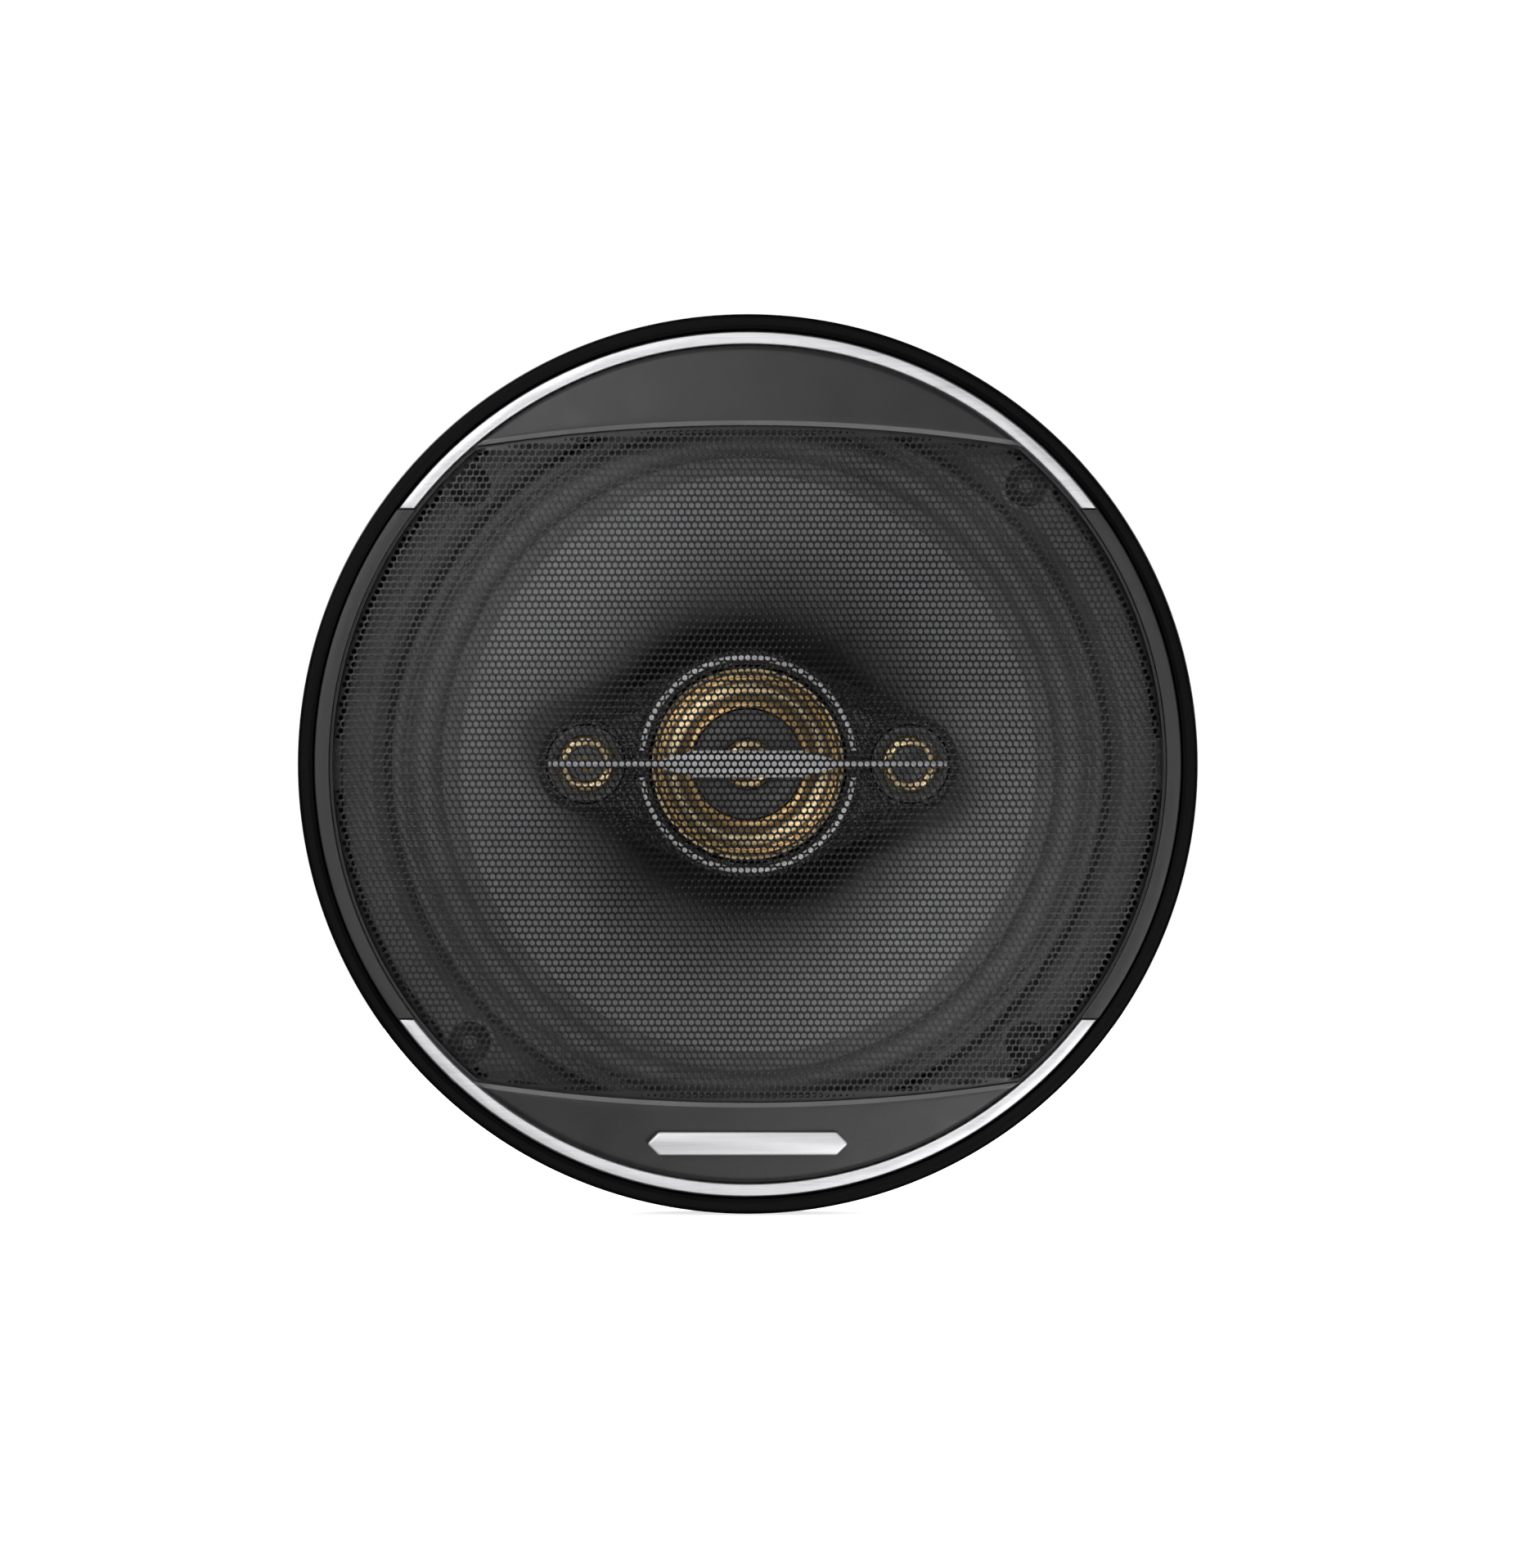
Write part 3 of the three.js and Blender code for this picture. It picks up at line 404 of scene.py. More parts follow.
def noise(made, size, detail=3.0, stretch=(1, 1, 1), roughness=0.55):
    """Cloudy noise with features of about size millimetres."""
    inputs = {
        "Vector": coordinates(made, stretch),
        "Scale": 1 / (size * MM),
        "Detail": detail,
        "Roughness": roughness,
    }
    return node(made, "ShaderNodeTexNoise", inputs).outputs["Fac"]


def cells(made, size):
    """Irregular cells of about size millimetres."""
    inputs = {"Vector": coordinates(made), "Scale": 1 / (size * MM)}
    return node(made, "ShaderNodeTexVoronoi", inputs).outputs


def waves(made, size, direction, distortion, detail_scale):
    """Parallel bands that repeat every size millimetres along one axis."""
    bands_per_turn = 20
    inputs = {
        "Vector": coordinates(made),
        "Scale": FULL_TURN / (bands_per_turn * size * MM),
        "Distortion": distortion,
        "Detail Scale": detail_scale,
    }
    return node(made, "ShaderNodeTexWave", inputs, bands_direction=direction).outputs["Fac"]


def spread(made, value, low, high, to_low=0.0, to_high=1.0):
    """Maps the values from low to high onto the values from to_low to to_high."""
    inputs = {"Value": value, "From Min": low, "From Max": high, "To Min": to_low, "To Max": to_high}
    return node(made, "ShaderNodeMapRange", inputs).outputs["Result"]


def joined(made, operation, first, second):
    added = node(made, "ShaderNodeMath", {0: first, 1: second}, operation=operation)
    return added.outputs["Value"]


def distance_from(made, x, y):
    """Distance in millimetres from a line through x, y along the axis, the same in each quarter."""
    quarter = node(made, "ShaderNodeVectorMath", {0: coordinates(made)}, operation="ABSOLUTE")
    inputs = {0: quarter.outputs["Vector"], 1: (-x * MM, 0, -y * MM)}
    shifted = node(made, "ShaderNodeVectorMath", inputs)
    inputs = {0: shifted.outputs["Vector"], 1: (1, 0, 1)}
    flat = node(made, "ShaderNodeVectorMath", inputs, operation="MULTIPLY")
    length = node(made, "ShaderNodeVectorMath", {0: flat.outputs["Vector"]}, operation="LENGTH")
    return joined(made, "DIVIDE", length.outputs["Value"], MM)


def coloured(made, value, *stops):
    """Turns a value into a colour. Each stop is a position and a colour."""
    ramp = node(made, "ShaderNodeValToRGB", {"Fac": value})
    elements = ramp.color_ramp.elements
    while len(elements) < len(stops):
        elements.new(0.5)
    for element, (position, colour) in zip(elements, stops):
        element.position = position
        element.color = (*colour, 1)
    return ramp.outputs["Color"]


def grey(value):
    return (value, value, value * 1.03)


def middling(made, cloud, low, high):
    """Maps the usual range of a noise onto the values from low to high."""
    return spread(made, cloud, 0.3, 0.7, low, high)


def scaled(made, value, factor):
    return joined(made, "MULTIPLY", value, factor)


def neutral(made, shade):
    return coloured(made, shade, (0, grey(0)), (1, grey(1)))


def relief(made, height, depth):
    """Bump of a real depth in millimetres."""
    inputs = {"Height": height, "Distance": depth * MM, "Strength": 1.0}
    feed(made, "Normal", node(made, "ShaderNodeBump", inputs).outputs["Normal"])


def surfaced(made, colour, roughness, height, depth):
    feed(made, "Base Color", colour)
    feed(made, "Roughness", roughness)
    relief(made, height, depth)
    return made


def clouded(slot, tint, dark, light, polish, glossiest, dullest, skin, depth, name=None, **sockets):
    """A finish from up to three noises, for its tint, its polish and its skin, each with its settings."""
    made = material(slot, name, **sockets)
    clouds = {settings: noise(made, *settings) for settings in (tint, polish, skin)}
    colour = coloured(made, clouds[tint], (0.3, dark), (0.7, light))
    roughness = middling(made, clouds[polish], glossiest, dullest)
    return surfaced(made, colour, roughness, clouds[skin], depth)


def satin_plastic(slot, dark, light, roughness, grain=0.16, depth=0.012, name=None, tone=None, **sockets):
    """Moulded plastic. The tone function multiplies the shade by something that varies over it."""
    made = material(slot, name, **sockets)
    fine = noise(made, grain, 4)
    broad = noise(made, 9, 2)
    mottled = joined(made, "MULTIPLY", fine, broad)
    shade = spread(made, mottled, 0.12, 0.42, dark, light)
    if tone:
        shade = joined(made, "MULTIPLY", shade, tone(made))
    colour = neutral(made, shade)
    return surfaced(made, colour, middling(made, broad, roughness - 0.04, roughness + 0.05), fine, depth)


def bezel_highlight_and_lip_tone(made):
    """A painted highlight on the chamfer along the panels' bowed edges, and a darker lip round the sheet."""
    from_edge = joined(made, "SUBTRACT", distance_from(made, 0, -PANEL_EDGE_CENTRE_Y), PANEL_EDGE_R)
    beyond = spread(made, from_edge, 0.0, 0.05)
    chamfer = joined(made, "MULTIPLY", beyond, spread(made, from_edge, 0.95, 0.85))
    on_lip = spread(made, distance_from(made, 0, 0), 79.15, 79.05)
    lip = joined(made, "MULTIPLY", on_lip, spread(made, from_edge, -0.1, -0.2))
    # painted highlight: the chamfer's colour is made up to six times brighter
    painted_highlight = joined(made, "ADD", scaled(made, chamfer, 5.0), 1.0)
    return joined(made, "MULTIPLY", painted_highlight, spread(made, lip, 0, 1, 1.0, 0.2))


def painted_pocket_shade(made):
    """Painted shade: the floors of the screw pockets are painted black, with a paler dimple left in the
    middle.
    """
    screw = distance_from(made, *polar(SCREW_PITCH_R, QUARTER_TURN / 2))
    pocket = spread(made, screw, 4.2, 4.0)
    dimple = spread(made, screw, 1.4, 1.2)
    # painted shade in the screw pockets, with the dimple kept at the ledge's own tone
    dark = joined(made, "SUBTRACT", pocket, dimple)
    return spread(made, dark, 0, 1, 1.0, 0.04)


def sparkle_plastic():
    """The coarse moulded grain of the centre module; a few of its facets are painted pale, as painted
    glints.
    """
    made = material("black_plastic", "sparkle_plastic", Specular_IOR_Level=0.7)
    facets = cells(made, 0.34)
    fine = noise(made, 0.12, 3)
    # painted glints: the palest facets are painted far brighter than the rest
    tone = coloured(made, facets["Color"], (0.3, grey(0.003)), (0.66, grey(0.007)), (0.74, grey(0.16)))
    roughness = spread(made, facets["Color"], 0.2, 0.8, 0.18, 0.5)
    height = joined(made, "ADD", facets["Distance"], scaled(made, fine, 0.4))
    return surfaced(made, tone, roughness, height, 0.16)


def sheet_paint_and_sheen():
    made = material("perforated_metal", Specular_IOR_Level=0.22)
    fine = noise(made, 0.2, 3)
    broad = noise(made, 14, 2)
    mottled = joined(made, "MULTIPLY", fine, broad)
    # painted shade and sheen: the webs are painted darker towards the middle and paler outwards
    paint = spread(made, distance_from(made, 0, 0), 24, 62, 0.001, 0.026)
    shade = joined(made, "MULTIPLY", paint, spread(made, mottled, 0.1, 0.45, 0.7, 1.2))
    return surfaced(made, neutral(made, shade), middling(made, broad, 0.27, 0.33), fine, 0.01)


def brushed_silver():
    made = material("brushed_silver", Metallic=0.55, Specular_IOR_Level=0.5)
    streaks = noise(made, 0.22, 5, (0.012, 1, 1), 0.7)
    broad = noise(made, 2.2, 2, (0.05, 1, 1))
    fine_share = scaled(made, streaks, 0.7)
    mixed = joined(made, "ADD", fine_share, scaled(made, broad, 0.3))
    colour = coloured(made, mixed, (0.33, grey(0.52)), (0.6, grey(0.66)))
    return surfaced(made, colour, middling(made, streaks, 0.4, 0.52), streaks, 0.008)


def painted_steel():
    made = material("black_steel", Specular_IOR_Level=0.45)
    peel = noise(made, 0.9, 2)
    fine = noise(made, 0.25, 4)
    colour = coloured(made, fine, (0.3, grey(0.011)), (0.7, grey(0.019)))
    height = joined(made, "ADD", peel, scaled(made, fine, 0.25))
    return surfaced(made, colour, middling(made, peel, 0.38, 0.5), height, 0.03)


def zinc():
    made = material("zinc_steel", Metallic=1.0)
    cloud = noise(made, 3, 4)
    scratch = noise(made, 0.15, 4, (1, 1, 0.06), 0.7)
    colour = coloured(made, cloud, (0.3, (0.53, 0.54, 0.55)), (0.7, (0.6, 0.6, 0.58)))
    roughness = spread(made, joined(made, "ADD", cloud, scratch), 0.7, 1.3, 0.34, 0.42)
    return surfaced(made, colour, roughness, scratch, 0.008)


def ground_ferrite():
    made = material("ferrite", Specular_IOR_Level=0.4)
    grain = noise(made, 0.3, 5, roughness=0.7)
    pits = cells(made, 1.6)["Distance"]
    colour = coloured(made, grain, (0.35, grey(0.022)), (0.65, grey(0.055)))
    height = joined(made, "ADD", scaled(made, grain, 0.5), spread(made, pits, 0, 0.14))
    return surfaced(made, colour, middling(made, grain, 0.55, 0.78), height, 0.05)


def cone_film():
    made = material("cone_film", Specular_IOR_Level=0.8)
    mica = noise(made, 0.35, 5, roughness=0.75)
    fibre = noise(made, 1.6, 4, (1, 1, 1), 0.65)
    mixed = joined(made, "ADD", scaled(made, mica, 0.6), scaled(made, fibre, 0.4))
    # painted shade: the cone is painted darker towards its neck, where the module shades it
    neck_shade = spread(made, distance_from(made, 0, 0), 27, 44, 0.05, 1.0)
    shade = joined(made, "MULTIPLY", spread(made, mixed, 0.34, 0.64, 0.27, 0.39), neck_shade)
    return surfaced(made, neutral(made, shade), middling(made, mica, 0.32, 0.44), mixed, 0.025)


def grey_film(name="grey_dome"):
    made = material("grey_dome", name, Specular_IOR_Level=0.55)
    fine = noise(made, 0.18, 4)
    broad = noise(made, 3, 2)
    mottled = joined(made, "MULTIPLY", fine, broad)
    colour = coloured(made, mottled, (0.12, grey(0.12)), (0.4, grey(0.19)))
    return surfaced(made, colour, middling(made, broad, 0.34, 0.46), fine, 0.008)


def gilded_film():
    """The dished dome, with a gilded peak."""
    made = grey_film("gilded_dome")
    peak = spread(made, distance_from(made, TWEETER_X, 0), 1.5, 1.4)
    feed(made, "Base Color", coloured(made, peak, (0.4, grey(0.22)), (0.6, (0.95, 0.74, 0.42))))
    feed(made, "Metallic", peak)
    return made


def woven_cloth():
    """Resin-stiffened cotton: a plain weave of two crossing sets of threads."""
    made = material("spider_cloth", Sheen_Weight=0.3, Sheen_Roughness=0.5, Specular_IOR_Level=0.3)
    across = waves(made, 0.55, "X", 0.6, 4)
    along = waves(made, 0.55, "Z", 0.6, 4)
    weave = joined(made, "MAXIMUM", across, along)
    stain = noise(made, 5, 3)
    shade = joined(made, "MULTIPLY", weave, middling(made, stain, 0.75, 1.0))
    shadow, thread, crown = (0.2, 0.11, 0.025), (0.5, 0.32, 0.09), (0.66, 0.46, 0.16)
    colour = coloured(made, shade, (0.1, shadow), (0.6, thread), (0.95, crown))
    return surfaced(made, colour, spread(made, weave, 0, 1, 0.8, 0.6), weave, 0.12)


def wound_copper():
    """Enamelled wire: fine turns round the axis."""
    made = material("copper", Metallic=1.0)
    turns = waves(made, 0.28, "Y", 0.3, 2)
    tint = noise(made, 1.2, 3)
    shade = joined(made, "MULTIPLY", turns, middling(made, tint, 0.8, 1.0))
    colour = coloured(made, shade, (0.1, (0.25, 0.08, 0.03)), (0.8, (0.78, 0.36, 0.18)))
    return surfaced(made, colour, spread(made, turns, 0, 1, 0.45, 0.28), turns, 0.08)


def braided_copper():
    """Tinsel lead: fine copper threads plaited round a core."""
    made = material("copper", "braided_copper", Metallic=0.9)
    crossing, running = waves(made, 0.3, "DIAGONAL", 0.8, 3), waves(made, 0.34, "Y", 0.8, 3)
    threads = joined(made, "MAXIMUM", crossing, running)
    colour = coloured(made, threads, (0.15, (0.16, 0.06, 0.02)), (0.85, (0.74, 0.4, 0.22)))
    return surfaced(made, colour, spread(made, threads, 0, 1, 0.6, 0.35), threads, 0.1)


def laminate():
    made = material("board", Specular_IOR_Level=0.45)
    fibres = noise(made, 0.35, 5, (0.1, 1, 1), 0.7)
    specks = cells(made, 0.8)["Distance"]
    shade = joined(made, "ADD", fibres, spread(made, specks, 0, 0.5, -0.12, 0.05))
    colour = coloured(made, shade, (0.3, (0.12, 0.06, 0.025)), (0.7, (0.27, 0.15, 0.065)))
    return surfaced(made, colour, middling(made, fibres, 0.5, 0.68), fibres, 0.02)


BLACK = satin_plastic("black_plastic", 0.0015, 0.003, 0.5, Specular_IOR_Level=0.06)
DARK = satin_plastic(
    "black_plastic", 0.012, 0.02, 0.5, name="matt_black_plastic", Specular_IOR_Level=0.35)
GREY = satin_plastic(
    "grey_plastic", 0.013, 0.019, 0.44, grain=0.2, depth=0.02, tone=bezel_highlight_and_lip_tone,
    Specular_IOR_Level=0.42)
LEDGE = satin_plastic(
    "black_plastic", 0.14, 0.19, 0.5, name="moulded_ring_plastic", tone=painted_pocket_shade)
SPARKLE = sparkle_plastic()
SHEET_PAINT_AND_SHEEN = sheet_paint_and_sheen()
SILVER = brushed_silver()
SATIN_SILVER = clouded(
    "brushed_silver", (4, 2), grey(0.78), grey(0.82), (0.1, 3), 0.42, 0.5, (0.1, 3), 0.002,
    name="satin_silver", Metallic=0.4, Specular_IOR_Level=1.0)
STEEL = painted_steel()
ZINC = zinc()
FERRITE = ground_ferrite()
RUBBER = clouded(
    "rubber", (6, 2), grey(0.15), grey(0.21), (0.3, 4), 0.42, 0.54, (0.3, 4), 0.02,
    Sheen_Weight=0.1, Sheen_Roughness=0.4, Specular_IOR_Level=0.8)
CONE_FILM = cone_film()
GOLD = clouded(
    "gold_film", (1.4, 4), (0.9, 0.66, 0.35), (0.99, 0.8, 0.5), (1.4, 4), 0.36, 0.42, (0.2, 3), 0.006,
    Metallic=1.0)
DOME_FILM = grey_film()
GILDED_FILM = gilded_film()
CLOTH = woven_cloth()
WINDING = wound_copper()
BRAID = braided_copper()
ROLLED = (0.12, 4, (1, 0.08, 1), 0.65)
FOIL = clouded(
    "aluminium_foil", ROLLED, grey(0.5), grey(0.72), ROLLED, 0.28, 0.42, ROLLED, 0.006, Metallic=1.0)
LAMINATE = laminate()
DRAWN = (0.14, 4, (1, 0.08, 1), 0.7)
TIN = clouded(
    "tin_plate", (1.8, 3), (0.6, 0.6, 0.58), (0.82, 0.82, 0.8), DRAWN, 0.24, 0.42, DRAWN, 0.008,
    Metallic=1.0)
SLEEVE = clouded(
    "capacitor_sleeve", (2.4, 3), (0.008, 0.012, 0.03), (0.014, 0.022, 0.05),
    (0.2, 3), 0.26, 0.36, (2.4, 3), 0.03,
    Specular_IOR_Level=0.6, Coat_Weight=0.3, Coat_Roughness=0.15)
NICKEL = clouded(
    "neodymium", (1.5, 4), (0.5, 0.48, 0.44), (0.7, 0.68, 0.63), (1.5, 4), 0.18, 0.32, (0.2, 3), 0.006,
    Metallic=1.0)


# ---------- camera ----------

VIEW_LONG_SIDE = 296
CAMERA_DISTANCE = 1200
CAMERA_OFFSET = (3.63, -3.78)


def camera():
    data = bpy.data.cameras.new("camera")
    data.sensor_width = 36
    data.lens = data.sensor_width * CAMERA_DISTANCE / VIEW_LONG_SIDE
    data.clip_end = 20
    holder = linked("camera", data)
    holder.location = place([(*CAMERA_OFFSET, RING_FRONT_Z + CAMERA_DISTANCE)])[0]
    holder.rotation_euler = (QUARTER_TURN, 0, 0)
    bpy.context.scene.camera = holder


camera()


# ---------- grille ----------

def outer_ring():
    corners = [
        (RING_INNER_R, RING_REAR_Z, 0.3),
        (OUTER_R, RING_REAR_Z, 0.5),
        (OUTER_R, RING_FRONT_Z, 1.9),
        (RING_INNER_R + 0.8, RING_FRONT_Z, 0.8),
        (RING_INNER_R, RING_FRONT_Z - 0.4, 0.15),
    ]
    piece("outer_ring_moulding", turned(rounded(corners, 8), 256), "grille", BLACK, "outer_ring")


def edge_y(x, edge_r=PANEL_EDGE_R):
    """Height of the gently bowed edge between a panel and the perforated sheet."""
    return math.sqrt(edge_r ** 2 - x ** 2) - PANEL_EDGE_CENTRE_Y


def panel_z(x, y):
    return PANEL_EDGE_Z - PANEL_SLOPE * (math.hypot(x, y) - PANEL_SLOPE_START_R)


def panel_section(x, outer_r):
    """The panel cut across at x: up the edge beside the sheet, over the crown and down by the strip.
    A lip behind it closes the gap under the edge of the sheet."""
    lip_reach, lip_drop = 1.3, 1.15
    bevel_width, bevel_drop, dip_width, dip = 0.9, 0.3, 1.1, 0.4
    inner = edge_y(x)
    outer = math.sqrt(outer_r ** 2 - x ** 2)
    width = outer - inner
    bevel = min(bevel_width, 0.35 * width)
    fall = min(dip_width, 0.35 * width)
    section = [
        (inner - lip_reach, lip_drop),
        (inner, lip_drop),
        (inner, bevel_drop + 0.1),
        (inner + 0.06 * bevel, bevel_drop),
        (inner + 0.9 * bevel, 0.06),
        (inner + 1.2 * bevel, 0),
    ]
    first, last = inner + 1.2 * bevel, outer - fall
    section += [(first + (last - first) * step / 8, 0) for step in range(1, 8)]
    for step in range(7):
        along = step / 6
        section.append((last + fall * along, dip * along ** 2))
    section += [(outer, PANEL_THICKNESS), (inner - lip_reach, PANEL_THICKNESS)]
    return [(x, y, panel_z(x, y) - drop) for y, drop in section]


def panel(outer_r):
    centre_y = PANEL_EDGE_CENTRE_Y
    meet_y = (PANEL_EDGE_R ** 2 - outer_r ** 2 - centre_y ** 2) / (2 * centre_y)
    reach = math.sqrt(outer_r ** 2 - meet_y ** 2) - 0.25
    stations = 72
    rings = []
    for step in range(stations + 1):
        x = reach * math.sin(QUARTER_TURN * (2 * step / stations - 1))
        rings.append(panel_section(x, outer_r))
    return loft(rings)


def strip_outline(inner_r, outer_r, end_y, steps=64):
    outer_end = math.asin(end_y / outer_r)
    inner_end = math.asin(end_y / inner_r)
    outline = arc(0, 0, outer_r, outer_end, math.pi - outer_end, steps)
    return outline + arc(0, 0, inner_r, math.pi - inner_end, inner_end, steps)


def clip():
    """A tongue behind the bezel, with a small hook at its end."""
    hook_r, inner_r, tip_r, outer_r = 79.9, 80.2, 81.1, 81.5
    low, root_z = CLIP_REAR_Z, BEZEL_REAR_Z + 1
    section = [
        (hook_r, low + 0.5), (inner_r, low), (tip_r, low), (outer_r, low + 0.4),
        (outer_r, root_z), (inner_r, root_z), (inner_r, low + 1.6), (hook_r, low + 1.2),
    ]
    sides = [(r, side * CLIP_HALF_WIDTH, z) for side in (-1, 1) for r, z in section]
    count = len(section)
    return loft([sides[:count], sides[count:]])


def skirt():
    """A wall behind the bezel, from one clip to the next, that reaches past the basket's flange."""
    inner_r, outer_r, rear_z, slit = FLANGE_R + 0.06, BEZEL_R - 0.2, 0.8, 0.8
    half = QUARTER_TURN / 2 - (CLIP_HALF_WIDTH + slit) / inner_r
    outline = arc(0, 0, outer_r, -half, half, 48) + arc(0, 0, inner_r, half, -half, 48)
    return slab(outline, rear_z, BEZEL_REAR_Z + 0.5, 0.15, 0.01)


def bezel():
    corners = [
        (BEZEL_LIP_R - 0.15, BEZEL_LIP_REAR_Z), (BEZEL_LIP_R - 0.15, BEZEL_LIP_REAR_Z + 1, 0.12),
        (BEZEL_LIP_R + 0.5, BEZEL_LIP_REAR_Z + 1, 0.1), (BEZEL_LIP_R + 0.5, BEZEL_FRONT_Z, 0.2),
        (BEZEL_R, BEZEL_FRONT_Z, 0.3), (BEZEL_R, BEZEL_REAR_Z, 0.2),
        (BEZEL_R - BEZEL_WALL, BEZEL_REAR_Z, 0.2), (BEZEL_R - BEZEL_WALL, BEZEL_LIP_REAR_Z),
    ]
    ring = turned(rounded(corners, 4), 256)
    floor_z = STRIP_REAR_Z - 0.3
    channel = strip_outline(BEZEL_LIP_R + 0.5, BEZEL_R + 2, STRIP_END_Y - 0.3)
    channels = [rotated(slab(channel, floor_z, RING_FRONT_Z + 2, 0.01), turn) for turn in (0, math.pi)]
    ring = cut(ring, *channels)
    panels = [rotated(panel(STRIP_INNER_R - 0.35), turn) for turn in (0, math.pi)]
    clips = [rotated(clip(), turn * QUARTER_TURN) for turn in range(4)]
    skirts = [rotated(skirt(), (turn + 0.5) * QUARTER_TURN) for turn in range(4)]
    moulding = union(ring, *panels, *clips, *skirts)
    piece("bezel_moulding", moulding, "grille", GREY, "bezel", 30)


def silver_strips():
    outline = strip_outline(STRIP_INNER_R, STRIP_R, STRIP_END_Y)
    for name, turn in (("silver_strip_top", 0), ("silver_strip_bottom", math.pi)):
        strip = rotated(slab(outline, STRIP_REAR_Z, STRIP_FRONT_Z, 0.22), turn)
        piece(name + "_trim", strip, "grille", SILVER, name, 50)


def badge():
    """A plain lozenge where a maker would put a name."""
    low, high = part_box("blank_badge")
    half_x, half_y = radius("blank_badge"), (high[2] - low[2]) / 2 / MM
    y = (high[2] + low[2]) / 2 / MM
    corners = [
        (half_x, 0, 0.5), (half_x - half_y, half_y, 1), (half_y - half_x, half_y, 1),
        (-half_x, 0, 0.5), (half_y - half_x, -half_y, 1), (half_x - half_y, -half_y, 1),
    ]
    outline = [(px, py + y) for px, py in rounded(corners)]
    plate = slab(outline, rear("blank_badge"), front("blank_badge"), 0.35)
    piece("blank_badge_plate", plate, "grille", SILVER, "blank_badge", 50)


# The perforated sheet: a real hole in every cell of a staggered grid. The sheet is gently domed, and
# its edge rolls back. It is made as bands of rows, because one mesh would hold too many faces.

SHEET_BANDS = 6
SHEET_EDGE_R = PANEL_EDGE_R - SHEET_EDGE_GAP
ROLL_R = 1.3
HOLE_SIDES = 12
CHAMFER_DEPTH = 0.06
LEAST_MARGIN = 0.05
SMALLEST_FIT = 0.3


def depth_inside(x, y):
    """Distance from the sheet's outline, positive inside it."""
    round_edge = SHEET_R - np.hypot(x, y)
    bowed_edge = SHEET_EDGE_R - np.hypot(x, np.abs(y) + PANEL_EDGE_CENTRE_Y)
    return np.minimum(round_edge, bowed_edge)


def pulled_inside(x, y):
    """Moves points that lie beyond the outline back onto it."""
    for _ in range(3):
        r = np.hypot(x, y)
        scale = np.minimum(1, SHEET_R / r)
        x, y = x * scale, y * scale
        reach = np.hypot(x, np.abs(y) + PANEL_EDGE_CENTRE_Y)
        scale = np.minimum(1, SHEET_EDGE_R / reach)
        y = np.sign(y) * np.maximum((np.abs(y) + PANEL_EDGE_CENTRE_Y) * scale - PANEL_EDGE_CENTRE_Y, 0)
        x = x * scale
    return x, y


def sheet_z(x, y):
    inside = np.clip(ROLL_R - (SHEET_R - np.hypot(x, y)), 0, ROLL_R)
    roll = ROLL_R - np.sqrt(ROLL_R ** 2 - inside ** 2)
    return SHEET_FRONT_Z - SHEET_DROP * (np.hypot(x, y) / SHEET_SHOULDER_R) ** 2 - roll


def sheet_band(first_row, last_row, columns):
    """One band of rows. Lattice points lie on the lines between rows, half a pitch apart."""
    half = HOLE_PITCH / 2
    lattice, points, faces = {}, [], []

    def corner(line, k, level):
        key = (line, k, level)
        if key not in lattice:
            lattice[key] = len(points)
            points.append((k * half, (line - 0.5) * HOLE_PITCH, level))
        return lattice[key]

    angles = [math.radians(15 + 30 * i) for i in range(HOLE_SIDES)]
    rim = [polar(HOLE_RIM_R, angle) for angle in angles]
    bore = [polar(HOLE_R, angle) for angle in angles]
    sides = {}

    def side(a, b, c, d):
        """A wall under a cell's edge, which two neighbouring cells cancel."""
        key = frozenset((a, b))
        if key in sides:
            del sides[key]
        else:
            sides[key] = (a, b, c, d)

    for row in range(first_row, last_row + 1):
        for k in range(-columns + (row % 2), columns + 1, 2):
            x, y = k * half, row * HOLE_PITCH
            around = [(1, 1), (0, 1), (-1, 1), (-1, 0), (0, 0), (1, 0)]
            corner_x = np.array([x + dx * half for dx, _ in around])
            corner_y = np.array([(row + up - 0.5) * HOLE_PITCH for _, up in around])
            if depth_inside(corner_x, corner_y).max() < LEAST_MARGIN:
                continue
            upper = [corner(row + up, k + dx, 0) for dx, up in around]
            lower = [corner(row + up, k + dx, 2) for dx, up in around]
            for i in range(6):
                j = (i + 1) % 6
                side(upper[i], upper[j], lower[j], lower[i])
            fit = min(1, (depth_inside(x, y) - LEAST_MARGIN) / HOLE_RIM_R)
            if fit < SMALLEST_FIT:
                faces.append(tuple(upper))
                faces.append(tuple(reversed(lower)))
                continue
            start = len(points)
            for level, circle in enumerate((rim, bore, bore)):
                points.extend((x + px * fit, y + py * fit, level) for px, py in circle)
            for i in range(HOLE_SIDES):
                j = (i + 1) % HOLE_SIDES
                for level in (0, 1):
                    a, b = start + level * HOLE_SIDES + i, start + level * HOLE_SIDES + j
                    faces.append((a, b, b + HOLE_SIDES, a + HOLE_SIDES))
            for ring, circle, flip in ((upper, start, False), (lower, start + 2 * HOLE_SIDES, True)):
                # each boundary point, and the circle's points that it fans out to
                fans = [(0, 0, 2), (1, 2, 3), (2, 3, 5), (3, 6, 8), (4, 8, 9), (5, 9, 11)]
                for point, low, high in fans:
                    for i in range(low, high):
                        face = (ring[point], circle + (i + 1) % HOLE_SIDES, circle + i)
                        faces.append(face[::-1] if flip else face)
                    following = (point + 1) % 6
                    end = circle + high % HOLE_SIDES
                    if point in (2, 5):
                        after = circle + (high + 1) % HOLE_SIDES
                        face = (ring[point], ring[following], after, end)
                    else:
                        face = (ring[point], ring[following], end)
                    faces.append(face[::-1] if flip else face)
    faces.extend(reversed(wall) for wall in sides.values())
    return np.array(points), [tuple(face) for face in faces]


